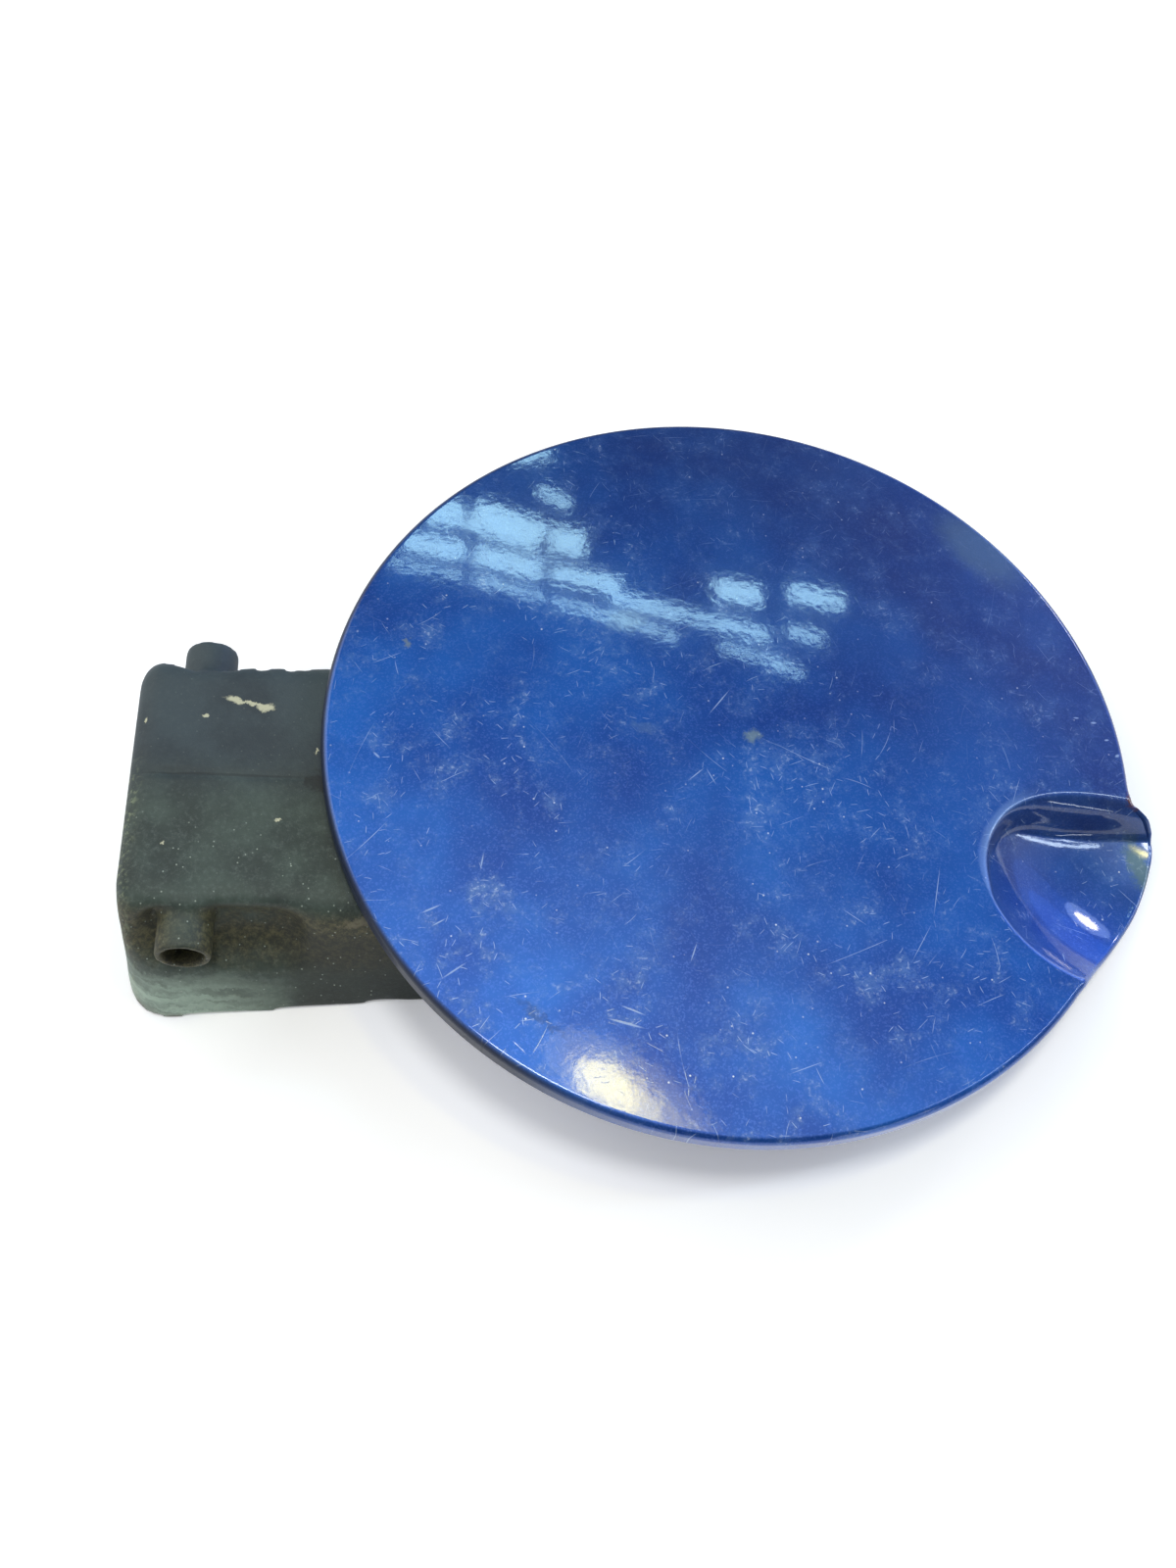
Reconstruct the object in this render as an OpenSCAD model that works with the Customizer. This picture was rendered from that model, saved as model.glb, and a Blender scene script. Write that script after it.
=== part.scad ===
// Round fuel door of a small car: a pressed and painted steel skin with a finger scoop,
// a steel inner panel hemmed into its rim, and a hollow moulded hinge arm with two
// hollow pivot pins. Millimetres.
//
// Each piece is drawn in the door's own frame: X runs from the hinge towards the scoop,
// Y runs along the hinge line, Z points out of the painted face, and z = 0 is the rim.
// resting() then lays the door down as it rests: on the arm's open edge and on the lip
// of the scoop, with the base of the front pivot pin at the origin.

/* [Door skin] */
// Diameter of the door over its turned rim
door_d = 168; // [150:1:190]
// Thickness of the outer sheet
skin_t = 0.9; // [0.7:0.1:1.4]
// Rise of the crowned face above the rim
crown_h = 3; // [1:0.5:6]
// Radius of the rolled rim
edge_r = 2.2; // [1.6:0.1:3.5]
// Height of the turned rim
flange_h = 4.6; // [4.2:0.1:6]
// Width of the hem that holds the inner panel
hem_w = 6; // [4:0.5:9]

/* [Finger scoop] */
// Distance of the scoop's centre from the rim, inwards along X
scoop_in = 7; // [4:0.5:12]
// Offset of the scoop's centre along Y
scoop_y = -26; // [-32:1:-20]
// Width of the bowl where it meets the face
scoop_w = 56; // [48:1:62]
// Depth of the bowl
scoop_depth = 10; // [7:0.5:12]
// Distance from the scoop's centre to the steep wall
wall_off = 17.5; // [14:0.5:20]
// Slope of the steep wall, from the face
wall_slope = 70; // [55:1:80]
// Radius of the roll above the steep wall
wall_r = 5; // [3:0.5:7]
// Turn of the steep wall about Z
wall_turn = -6; // [-12:1:4]
// Reach of the lip beyond the rim
lip_reach = 6.3; // [4:0.1:9]
// Radius of the lip, seen from above
lip_r = 38; // [34:1:42]
// Height of the lip's turned edge
lip_h = 2.4; // [1.5:0.1:3.5]

/* [Inner panel] */
// Thickness of the inner sheet
inner_t = 0.8; // [0.6:0.1:1.2]
// Gap between the inner panel and the turned rim
inner_gap = 0.3; // [0.2:0.1:0.8]
// Gap round the bowl of the scoop
bowl_gap = 1.2; // [0.8:0.1:2]
// Radius of the pressed ring bead
bead_ring_r = 68; // [64:1:70]
// Width of the pressed ring bead
bead_w = 6; // [4:0.5:8]
// Height of the pressed ring bead
bead_h = 1.3; // [0.8:0.1:1.6]
// Radius of the lightening holes
light_r = 7.2; // [5:0.1:9]

/* [Hinge arm] */
// Gap between the hem and the top of the arm
arm_gap = 0.6; // [0.4:0.1:1.5]
// Reach of the arm's end beyond the rim
arm_reach = 37.5; // [34:0.5:45]
// Offset of the arm's centre line along Y
arm_y = -11; // [-16:1:-4]
// Width of the top face
arm_w = 57; // [52:1:64]
// Depth at the hinge end
arm_depth = 33; // [28:1:38]
// Outward lean of each side wall over the full depth
arm_flare = 9; // [5:0.5:11]
// Wall of the moulding
arm_wall = 2.5; // [2:0.1:3]
// Radius of the top edges
arm_top_r = 5; // [4:0.5:7]
// Radius of the upright corners at the open edge
arm_foot_r = 10; // [8:0.5:13]
// Length of the deep box, from the hinge end to its sloping end wall
box_len = 64; // [58:1:72]
// Run of the sloping end wall
box_slope = 22; // [16:1:28]
// Depth of the shallow mounting foot
foot_depth = 9; // [7:0.5:12]
// Width of the mounting foot at its tip
foot_w = 46; // [42:1:52]
// Reach of the mounting foot past the door's centre
foot_past = 8; // [0:1:14]
// Thickness of the ribs
rib_t = 2; // [1.5:0.1:2.5]
// Set-back of the ribs from the open edge
rib_back = 4; // [2:0.5:8]

/* [Hinge pins] */
// Diameter of the hollow pins
pin_d = 10.8; // [9:0.1:12]
// Bore of the hollow pins
pin_bore = 8.2; // [6:0.1:9]
// Length over the ends of both pins
pin_span = 69; // [66:0.5:74]
// Distance of the hinge line from the arm's end
pin_in = 13.5; // [12:0.5:18]
// Drop of the hinge line below the arm's top
pin_drop = 7.4; // [7:0.1:9]
// Clearance round the root of a pin
pin_clear = 0.9; // [0.7:0.1:1.4]
// Radius of the valley that clears the pins
valley_r = 9; // [7.5:0.5:11]
// Depth of the valley in the side wall
valley_in = 4.5; // [3:0.5:6]
// Length of the valley beyond the hinge line
valley_len = 17; // [12:1:22]
// Length of the valley towards the arm's end
valley_back = 3; // [0:0.5:4]

/* [Fasteners] */
// Thread size of the arm's screws
screw_d = 5; // [4:0.5:6]
// Clearance between a shank and its hole
hole_gap = 0.25; // [0.15:0.05:0.5]
// Width across flats of heads and nuts
hex_af = 8; // [7:0.5:10]
// Height of a hexagon head
head_h = 3.4; // [2.5:0.1:4]
// Diameter of a head's flange
head_flange_d = 11.5; // [10:0.5:13]
// Thickness of a head's flange
head_flange_t = 1.1; // [0.8:0.1:1.6]
// Height of a weld nut
nut_h = 3.8; // [3:0.1:4.2]
// Spacing of the arm's screws along X
screw_dx = 26; // [22:1:30]
// Spacing of the arm's screws along Y
screw_dy = 28; // [24:1:30]
// Distance from the foot's tip to the nearer screws
screw_in = 9; // [8:0.5:12]
// Diameter of the screws' seats in the arm
seat_d = 13; // [12:0.5:15]
// Thickness of the arm under the screw heads
seat_t = 4; // [3:0.5:6]
// Shank of a blind rivet
rivet_d = 3.2; // [2.8:0.2:4]
// Head of a blind rivet
rivet_head_d = 6.4; // [5.6:0.2:8]
// Height of a rivet's head
rivet_head_h = 1.1; // [0.8:0.1:1.6]
// Height of a rivet's set end
rivet_set_h = 1.6; // [1.2:0.1:2]

/* [Leaf spring] */
// Thickness of the over-centre spring
spring_t = 0.8; // [0.6:0.1:1.2]
// Width of the over-centre spring
spring_w = 14; // [10:1:18]
// Clearance beside the spring, where it passes the ribs
spring_gap = 2; // [1:0.5:4]
// Height of the pad that carries the spring
pad_h = 5; // [4:0.5:7]
// Length of the pad along X
pad_len = 18; // [15:1:22]
// Radius of the curl at the spring's free end
curl_r = 4; // [3:0.5:5.5]
// Fall of the spring from its pad to the curl
spring_fall = 7; // [4:0.5:9]
// Diameter of the spring's tapping screws
tap_d = 3; // [2.5:0.5:4]
// Diameter of the tapping screws' heads
tap_head_d = 6.4; // [5.5:0.1:8]
// Height of the tapping screws' heads
tap_head_h = 2; // [1.6:0.1:2.6]

/* [Lock striker] */
// Distance of the striker from the door's centre along X
striker_x = 50; // [46:1:52]
// Offset of the striker along Y
striker_y = 14; // [12:1:20]
// Length of the striker's base along Y
striker_len = 30; // [26:1:34]
// Width of the striker's base along X
striker_w = 12; // [11:0.5:14]
// Thickness of the striker's base
striker_t = 2.2; // [1.8:0.1:3]
// Height of the striker's loop below its base
striker_h = 8.4; // [7:0.1:8.6]
// Wall of the striker's loop
striker_wall = 2; // [1.6:0.1:2.6]
// Width of the opening for the lock bolt
striker_slot = 9; // [7:0.5:11]

/* [Cap holder] */
// Distance of the cap holder from the door's centre along X
holder_x = 31; // [27:1:34]
// Offset of the cap holder along Y
holder_y = -8; // [-14:1:-4]
// Outer radius of the holder's claw
holder_r = 12; // [10:0.5:13]
// Wall of the claw
holder_wall = 2.2; // [1.8:0.1:3]
// Height of the claw
holder_h = 8; // [6:0.5:9]
// Mouth of the claw
holder_mouth = 13; // [10:0.5:15]
// Thickness of the holder's base
holder_t = 2; // [1.6:0.1:3]

/* [Buffers] */
// Distance of the buffers from the door's centre
buffer_ring_r = 60; // [54:1:62]
// Direction of the rear buffer, from X
buffer_rear_a = 58; // [45:1:80]
// Direction of the front buffer, from X
buffer_front_a = -88; // [-110:1:-76]
// Diameter of a buffer's head
buffer_d = 12; // [10:0.5:14]
// Height of a buffer's head below the inner panel
buffer_h = 6; // [4:0.5:8]
// Diameter of a buffer's neck
buffer_neck_d = 6; // [5:0.5:8]
// Clearance between a neck and its hole
buffer_gap = 0.1; // [0.05:0.05:0.3]
// Diameter of the button above the panel
buffer_top_d = 8.6; // [8:0.2:10]
// Height of the button above the panel
buffer_top_h = 1.4; // [1:0.1:1.6]

/* [Hidden] */

paint = "mediumblue";
plastic = "darkslategray";
zinc = "silver";
black = "dimgray";
nylon = "gainsboro";

door_r = door_d / 2;
far = 2 * door_d;
crown_steps = 14;
edge_steps = 6;
roll_steps = 8;

// Height of the crowned face at a distance from the centre
function crown_z(r) = crown_h * (1 - pow(r / door_r, 2));
rim_slope = atan(2 * crown_h / door_r);
roll_start = door_r - edge_r + edge_r * sin(rim_slope);
roll_z = crown_z(roll_start) - edge_r * cos(rim_slope);

// Half section of the face and its rolled edge, a distance g inside the outer surface
function face_points(g) = [
    for (i = [0:crown_steps])
        let (r = (roll_start - g * sin(rim_slope)) * i / crown_steps)
            [r, crown_z(r + g * sin(rim_slope) * i / crown_steps) - g * cos(rim_slope * i / crown_steps)]
];
function roll_points(g) = [
    for (i = [1:edge_steps])
        let (a = (90 - rim_slope) * (1 - i / edge_steps))
            [door_r - edge_r + (edge_r - g) * cos(a), roll_z + (edge_r - g) * sin(a)]
];
function skin_points(g) = concat(face_points(g), roll_points(g));
function backwards(p) = [for (i = [len(p) - 1:-1:0]) p[i]];

// The bowl is a ball that sinks into the face
scoop_x = door_r - scoop_in;
scoop_z = crown_z(norm([scoop_x, scoop_y]));
bowl_half = scoop_w / 2;
bowl_r = (bowl_half * bowl_half + scoop_depth * scoop_depth) / (2 * scoop_depth);
bowl_z = scoop_z + bowl_r - scoop_depth;
wall_pitch = atan(2 * crown_h * scoop_x / (door_r * door_r));
bowl_fn = 96;

// The lip is an arc that passes beyond the rim by lip_reach, and its shoulder falls with the wall
lip_x = door_r + lip_reach - lip_r;
lip_y = scoop_y + wall_off - 4;
lip_steps = 24;
shoulder_fall = 0.6;

hem_top = skin_t - flange_h;
inner_r = door_r - skin_t - inner_gap;
inner_top = hem_top + inner_t;
arm_top = -flange_h - arm_gap;
tray_top = arm_top + inner_t;

// Line on which the door rests, from the arm's hinge end to the lip of the scoop
arm_x = -door_r - arm_reach;
heel_z = arm_top - arm_depth;
lip_edge_r = bowl_r + skin_t + lip_h;
function lip_point(a) = [lip_x + lip_r * cos(a), lip_y + lip_r * sin(a)];
function lip_floor(p) = bowl_z - sqrt(pow(lip_edge_r, 2) - pow(norm(p - [scoop_x, scoop_y]), 2));
rest_slope = min([
    for (i = [0:lip_steps])
        let (p = lip_point(-60 + 60 * i / lip_steps))
            (lip_floor(p) - heel_z) / (p[0] - arm_x)
]);
rest_tilt = atan(rest_slope);

pin_x = arm_x + pin_in;
pin_z = arm_top - pin_drop;
pin_r = pin_d / 2;
pin_root = 1.5 * arm_wall;
valley_y = arm_w / 2 - valley_in + valley_r;
pin_base = valley_y - valley_r;
pin_end = pin_span / 2;

box_x = arm_x + box_len;
foot_x = foot_past;
foot_r = 8;
corner_steps = 6;
screw_x = foot_x - screw_in;
hole_r = screw_d / 2 + hole_gap;
seat_z = arm_top - seat_t;
tray_gap = 3;
light_land = 7;
tray_x0 = box_x - 4;
tray_x1 = foot_x + tray_gap;
tray_w = arm_w + 2 * tray_gap;
tray_r = 8;

pad_x = box_x - 12;
pad_z = arm_top - arm_wall - pad_h;
spring_x = pin_x + 3;
striker_rivet_y = striker_len / 2 - 4;

module resting() {
    rotate([0, rest_tilt, 0])
        translate([-pin_x, -(arm_y - pin_base), -pin_z])
            children();
}

module hexagon(af) {
    circle(r = af / sqrt(3), $fn = 6);
}

module rounded_bar(x0, x1, w, r) {
    translate([x0 + r, -w / 2])
        square([x1 - x0 - 2 * r, w]);
    translate([x0, -w / 2 + r])
        square([x1 - x0, w - 2 * r]);
    for (x = [x0 + r, x1 - r])
        for (y = [-w / 2 + r, w / 2 - r])
            translate([x, y])
                circle(r = r, $fn = 48);
}

// Space of the scoop: a ball grown by g, cut off by the rolled steep wall grown by wall_g
module scoop_space(g, wall_g) {
    intersection() {
        translate([scoop_x, scoop_y, bowl_z])
            sphere(r = bowl_r + g, $fn = bowl_fn);
        translate([scoop_x, scoop_y + wall_off, scoop_z])
            rotate([0, wall_pitch, wall_turn])
                rotate([90, 0, 90])
                    translate([0, 0, -far / 2])
                        linear_extrude(height = far)
                            polygon(wall_points(wall_g));
    }
}

// Section across the steep wall: far side of the scoop's space, in (Y, Z)
function wall_points(g) = let (
    turn = wall_slope,
    foot_y = -(wall_r - g) * sin(turn),
    foot_z = -wall_r + (wall_r - g) * cos(turn)
) concat(
    [[-far, far], [0, far]],
    [
        for (i = [0:roll_steps])
            let (a = turn * i / roll_steps)
                [-(wall_r - g) * sin(a), -wall_r + (wall_r - g) * cos(a)]
    ],
    [[foot_y - far / 4 / tan(turn), foot_z - far / 4], [-far, foot_z - far / 4]]
);

// Everything below the crowned face, which falls away outside the rim
module below_face() {
    out = lip_reach + 4;
    rotate_extrude($fn = 180)
        polygon(concat(
            [[0, -far / 4]],
            [for (i = [0:crown_steps]) let (r = door_r * i / crown_steps) [r, crown_z(r)]],
            [[door_r + out, -shoulder_fall * out], [door_r + out, -far / 4]]
        ));
}

module lip_outline(g) {
    translate([lip_x, lip_y])
        circle(r = lip_r - g, $fn = 180);
}

module door_outline() {
    circle(r = door_r, $fn = 180);
    lip_outline(0);
}

module skin_sheet() {
    rotate_extrude($fn = 180)
        polygon(concat(
            skin_points(0),
            [[door_r, -flange_h], [door_r - hem_w, -flange_h]],
            [[door_r - hem_w, hem_top], [door_r - skin_t, hem_top]],
            backwards(skin_points(skin_t))
        ));
}

module bowl_sheet() {
    intersection() {
        scoop_space(skin_t, skin_t);
        below_face();
        translate([0, 0, -far / 4])
            linear_extrude(height = far / 2)
                door_outline();
    }
}

module lip_edge() {
    intersection() {
        scoop_space(skin_t + lip_h, skin_t);
        below_face();
        translate([0, 0, -far / 4])
            linear_extrude(height = far / 2)
                difference() {
                    lip_outline(0);
                    lip_outline(skin_t);
                    circle(r = door_r - skin_t, $fn = 180);
                }
    }
}

module outer_panel() {
    color(paint)
        resting()
            difference() {
                union() {
                    skin_sheet();
                    bowl_sheet();
                    lip_edge();
                }
                scoop_space(0, 0);
            }
}

module arm_holes(r) {
    for (x = [screw_x, screw_x - screw_dx])
        for (y = [-screw_dy / 2, screw_dy / 2])
            translate([x, arm_y + y, arm_top - foot_depth])
                cylinder(r = r, h = foot_depth + 2 * inner_t, $fn = 48);
}

module buffer_at(a) {
    translate([buffer_ring_r * cos(a), buffer_ring_r * sin(a), hem_top])
        children();
}

module inner_sheet() {
    translate([0, 0, hem_top])
        linear_extrude(height = inner_t)
            circle(r = inner_r, $fn = 180);
    translate([0, arm_y, arm_top])
        linear_extrude(height = inner_top - arm_top)
            rounded_bar(tray_x0, tray_x1, tray_w, tray_r);
    rotate_extrude($fn = 180)
        polygon([
            [bead_ring_r - bead_w / 2, hem_top],
            [bead_ring_r - bead_w / 4, inner_top + bead_h],
            [bead_ring_r + bead_w / 4, inner_top + bead_h],
            [bead_ring_r + bead_w / 2, hem_top]
        ]);
}

// Lightening hole in direction a, inside the ring bead
module light_hole(a, r) {
    edge = bead_ring_r - bead_w / 2 - light_land;
    rotate(a)
        translate([edge - light_r, 0, hem_top - 1])
            cylinder(r = r, h = inner_t + 2, $fn = 48);
}

module inner_panel() {
    color(paint)
        resting()
            difference() {
                inner_sheet();
                translate([0, arm_y, tray_top])
                    linear_extrude(height = far)
                        rounded_bar(tray_x0 + inner_t, tray_x1 - inner_t, tray_w - 2 * inner_t, tray_r - inner_t);
                rotate_extrude($fn = 180)
                    polygon([
                        [bead_ring_r - bead_w / 2 + inner_t, hem_top - inner_t],
                        [bead_ring_r - bead_w / 4 + inner_t / 2, inner_top + bead_h - inner_t],
                        [bead_ring_r + bead_w / 4 - inner_t / 2, inner_top + bead_h - inner_t],
                        [bead_ring_r + bead_w / 2 - inner_t, hem_top - inner_t]
                    ]);
                scoop_space(skin_t + bowl_gap, skin_t + bowl_gap);
                arm_holes(hole_r);
                for (a = [75, 112, -68, -112])
                    light_hole(a, light_r);
                for (a = [148, -145])
                    light_hole(a, 0.75 * light_r);
                for (a = [buffer_rear_a, buffer_front_a])
                    buffer_at(a)
                        translate([0, 0, -1])
                            cylinder(d = buffer_neck_d + 2 * buffer_gap, h = inner_t + 2, $fn = 48);
                striker_holes(rivet_d / 2 + hole_gap);
                holder_hole(rivet_d / 2 + hole_gap);
            }
}

module weld_nuts() {
    color(zinc)
        resting()
            for (x = [screw_x, screw_x - screw_dx])
                for (y = [-screw_dy / 2, screw_dy / 2])
                    translate([x, arm_y + y, tray_top])
                        difference() {
                            linear_extrude(height = nut_h)
                                hexagon(hex_af);
                            translate([0, 0, -1])
                                cylinder(r = screw_d / 2 + hole_gap / 2, h = nut_h + 2, $fn = 48);
                        }
}

module arm_screws() {
    shank = seat_t + inner_t + nut_h;
    color(zinc)
        resting()
            for (x = [screw_x, screw_x - screw_dx])
                for (y = [-screw_dy / 2, screw_dy / 2])
                    translate([x, arm_y + y, seat_z]) {
                        cylinder(d = screw_d, h = shank, $fn = 48);
                        translate([0, 0, -head_flange_t])
                            cylinder(d = head_flange_d, h = head_flange_t, $fn = 48);
                        translate([0, 0, -head_flange_t - head_h])
                            linear_extrude(height = head_h)
                                hexagon(hex_af);
                    }
}

// Deep box of the arm, a distance g inside its outer surface
module arm_box(g) {
    low = heel_z - 4;
    half_low = arm_w / 2 + arm_flare * (arm_top - arm_top_r - low) / (arm_depth - arm_top_r);
    hull()
        for (s = [-1, 1]) {
            for (x = [arm_x + arm_top_r, box_x + box_slope - arm_top_r])
                translate([x, arm_y + s * (arm_w / 2 - arm_top_r), arm_top - arm_top_r])
                    sphere(r = arm_top_r - g, $fn = 32);
            for (x = [arm_x + arm_foot_r, box_x - arm_foot_r])
                translate([x, arm_y + s * (half_low - arm_foot_r), low])
                    cylinder(r = arm_foot_r - g, h = 1, $fn = 32);
        }
}

// Shallow foot of the arm, which is screwed to the inner panel
module arm_foot(g) {
    root_x = box_x + 4;
    root_y = arm_w / 2 - arm_top_r - g;
    translate([0, arm_y, arm_top - foot_depth])
        linear_extrude(height = foot_depth - g)
            polygon(concat(
                [[root_x, -root_y], [root_x, root_y]],
                foot_corner(1, g),
                backwards(foot_corner(-1, g))
            ));
}

// Rounded corner of the foot's tip, a distance g inside its outline
function foot_corner(side, g) = [
    for (i = [0:corner_steps])
        let (a = 90 * (1 - i / corner_steps))
            [
                foot_x - foot_r + (foot_r - g) * cos(a),
                side * (foot_w / 2 - foot_r + (foot_r - g) * sin(a))
            ]
];

// Valley along one side wall that gives room round a pivot pin
module arm_valley(s, g) {
    translate([pin_x + valley_len, arm_y + s * valley_y, pin_z]) {
        sphere(r = valley_r + g, $fn = 48);
        rotate([0, -90, 0])
            cylinder(r = valley_r + g, h = valley_len + valley_back, $fn = 48);
    }
    translate([pin_x - valley_back, arm_y + s * valley_y, pin_z])
        sphere(r = valley_r + g, $fn = 48);
}

module rest_cut() {
    translate([arm_x, 0, heel_z])
        rotate([0, -rest_tilt, 0])
            translate([-far / 2, -far / 2, -far / 4])
                cube([far, far, far / 4]);
}

// Cross ribs either side of the spring's channel, and the channel's own two walls
module arm_ribs() {
    rib_z = heel_z + rib_back;
    channel = spring_w / 2 + spring_gap;
    intersection() {
        union() {
            for (s = [-1, 1]) {
                for (x = [pin_x + valley_len + 5, box_x - arm_foot_r])
                    translate([x, arm_y + s * channel - (s < 0 ? arm_w : 0), rib_z])
                        cube([rib_t, arm_w, arm_top - rib_z]);
                translate([arm_x, arm_y + s * (channel + rib_t / 2) - rib_t / 2, rib_z])
                    cube([box_len + box_slope, rib_t, arm_top - rib_z]);
            }
            translate([pad_x - pad_len / 2, arm_y - spring_w / 2, pad_z])
                cube([pad_len, spring_w, arm_top - pad_z]);
            pins_at(pin_base - pin_root)
                cylinder(r = pin_r + arm_wall, h = pin_root - arm_wall / 8, $fn = 64);
        }
        arm_box(arm_wall / 2);
        translate([arm_x, 0, heel_z + rib_back])
            rotate([0, -rest_tilt, 0])
                translate([-far / 2, -far / 2, 0])
                    cube([far, far, far / 2]);
    }
}

// Both pins' axes: children stand on them and point outwards, from a distance y of the middle
module pins_at(y) {
    for (s = [-1, 1])
        translate([pin_x, arm_y + s * y, pin_z])
            rotate([-90 * s, 0, 0])
                children();
}

module arm_shell() {
    difference() {
        union() {
            arm_box(0);
            arm_foot(0);
        }
        arm_valley(-1, 0);
        arm_valley(1, 0);
        difference() {
            union() {
                arm_box(arm_wall);
                translate([0, 0, -1])
                    arm_foot(arm_wall);
            }
            arm_valley(-1, arm_wall);
            arm_valley(1, arm_wall);
        }
    }
}

module hinge_arm() {
    color(plastic)
        resting()
            difference() {
                union() {
                    difference() {
                        union() {
                            arm_shell();
                            arm_ribs();
                        }
                        pins_at(pin_base)
                            cylinder(r = pin_r + pin_clear, h = far, $fn = 64);
                    }
                    pins_at(pin_base - pin_root)
                        cylinder(d = pin_d, h = pin_end - pin_base + pin_root, $fn = 64);
                    for (x = [screw_x, screw_x - screw_dx])
                        for (y = [-screw_dy / 2, screw_dy / 2])
                            translate([x, arm_y + y, seat_z])
                                cylinder(d = seat_d, h = seat_t, $fn = 48);
                }
                rest_cut();
                arm_holes(hole_r);
                translate([pin_x, arm_y, pin_z])
                    rotate([90, 0, 0])
                        cylinder(d = pin_bore, h = far, center = true, $fn = 64);
                spring_holes(tap_d / 2);
            }
}

module spring_at() {
    for (x = [-pad_len / 4, pad_len / 4])
        translate([pad_x + x, arm_y, pad_z])
            children();
}

module spring_holes(r) {
    spring_at()
        translate([0, 0, -spring_t - 1])
            cylinder(r = r, h = pad_h + spring_t, $fn = 32);
}

// Side view of the leaf spring: flat on its pad, falling to a curl under the hinge line
function unit(v) = v / norm(v);
function heading(p, i) = unit(p[min(i + 1, len(p) - 1)] - p[max(i - 1, 0)]);
function beside(p, d) = [for (i = [0:len(p) - 1]) p[i] + d * [-heading(p, i)[1], heading(p, i)[0]]];
leaf_mid = -spring_t / 2;
leaf_fall_x = pad_x - pad_len / 2;
leaf_curl_z = leaf_mid - spring_fall - curl_r;
curl_from = 80;
curl_turn = 252;
curl_steps = 18;
leaf_path = concat(
    [[pad_x + pad_len / 2, leaf_mid], [leaf_fall_x, leaf_mid]],
    [
        for (i = [0:curl_steps])
            let (a = curl_from + curl_turn * i / curl_steps)
                [spring_x + curl_r * cos(a), leaf_curl_z + curl_r * sin(a)]
    ]
);
module leaf_section() {
    polygon(concat(beside(leaf_path, spring_t / 2), backwards(beside(leaf_path, -spring_t / 2))));
}

module leaf_spring() {
    color(zinc)
        resting()
            difference() {
                translate([0, arm_y + spring_w / 2, pad_z])
                    rotate([90, 0, 0])
                        linear_extrude(height = spring_w)
                            leaf_section();
                spring_holes(tap_d / 2 + hole_gap);
            }
}

module spring_screws() {
    color(zinc)
        resting()
            spring_at() {
                translate([0, 0, -spring_t])
                    cylinder(d = tap_d - hole_gap, h = pad_h + spring_t - 1.5, $fn = 32);
                translate([0, 0, -spring_t - tap_head_h])
                    cylinder(d = tap_head_d, h = tap_head_h, $fn = 32);
            }
}

module striker_at() {
    translate([striker_x, striker_y, hem_top])
        children();
}

module striker_holes(r) {
    striker_at()
        for (y = [-striker_rivet_y, striker_rivet_y])
            translate([0, y, -striker_t - 1])
                cylinder(r = r, h = striker_t + inner_t + 2, $fn = 32);
}

// Loop that the lock's bolt slides into along X
module lock_striker() {
    loop_w = striker_slot + 2 * striker_wall;
    color(black)
        resting()
            difference() {
                striker_at() {
                    translate([0, 0, -striker_t])
                        linear_extrude(height = striker_t)
                            rotate(90)
                                rounded_bar(-striker_len / 2, striker_len / 2, striker_w, 3);
                    difference() {
                        translate([-striker_w / 2, -loop_w / 2, -striker_t - striker_h])
                            cube([striker_w, loop_w, striker_h + striker_t / 2]);
                        translate([-striker_w, -striker_slot / 2, -striker_t - striker_h + striker_wall])
                            cube([2 * striker_w, striker_slot, striker_h - striker_wall]);
                    }
                }
                striker_holes(rivet_d / 2 + hole_gap);
            }
}

// Blind rivet: head at z = -stack, set end above the inner panel
module rivet(stack) {
    translate([0, 0, -stack])
        cylinder(d = rivet_d, h = stack + inner_t + rivet_set_h, $fn = 32);
    translate([0, 0, -stack - rivet_head_h])
        cylinder(d1 = rivet_head_d * 0.7, d2 = rivet_head_d, h = rivet_head_h, $fn = 32);
    translate([0, 0, inner_t])
        cylinder(d = rivet_d * 1.5, h = rivet_set_h, $fn = 32);
}

module striker_rivets() {
    color(zinc)
        resting()
            striker_at()
                for (y = [-striker_rivet_y, striker_rivet_y])
                    translate([0, y, 0])
                        rivet(striker_t);
}

module holder_at() {
    translate([holder_x, holder_y, hem_top])
        children();
}

module holder_hole(r) {
    holder_at()
        translate([0, 0, -holder_t - 1])
            cylinder(r = r, h = holder_t + inner_t + 2, $fn = 32);
}

// Open claw that holds the filler cap's lug while the tank is filled
module cap_holder() {
    color(nylon)
        resting()
            difference() {
                holder_at() {
                    translate([0, 0, -holder_t])
                        cylinder(r = holder_r, h = holder_t, $fn = 64);
                    difference() {
                        translate([0, 0, -holder_t - holder_h])
                            cylinder(r = holder_r, h = holder_h + holder_t / 2, $fn = 64);
                        translate([0, 0, -holder_t - holder_h - 1])
                            cylinder(r = holder_r - holder_wall, h = holder_h + 1, $fn = 64);
                        translate([0, -holder_mouth / 2, -holder_t - holder_h - 1])
                            cube([far, holder_mouth, holder_h + 1]);
                    }
                }
                holder_hole(rivet_d / 2 + hole_gap);
            }
}

module cap_holder_rivet() {
    color(zinc)
        resting()
            holder_at()
                rivet(holder_t);
}

module buffer() {
    color(black)
        rotate_extrude($fn = 64)
            polygon([
                [0, -buffer_h], [buffer_d / 2 - 2, -buffer_h],
                [buffer_d / 2, -buffer_h + 2], [buffer_d / 2, 0],
                [buffer_neck_d / 2, 0], [buffer_neck_d / 2, inner_t],
                [buffer_top_d / 2, inner_t], [buffer_neck_d / 2, inner_t + buffer_top_h],
                [0, inner_t + buffer_top_h]
            ]);
}

module buffer_front() {
    resting()
        buffer_at(buffer_front_a)
            buffer();
}

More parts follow.
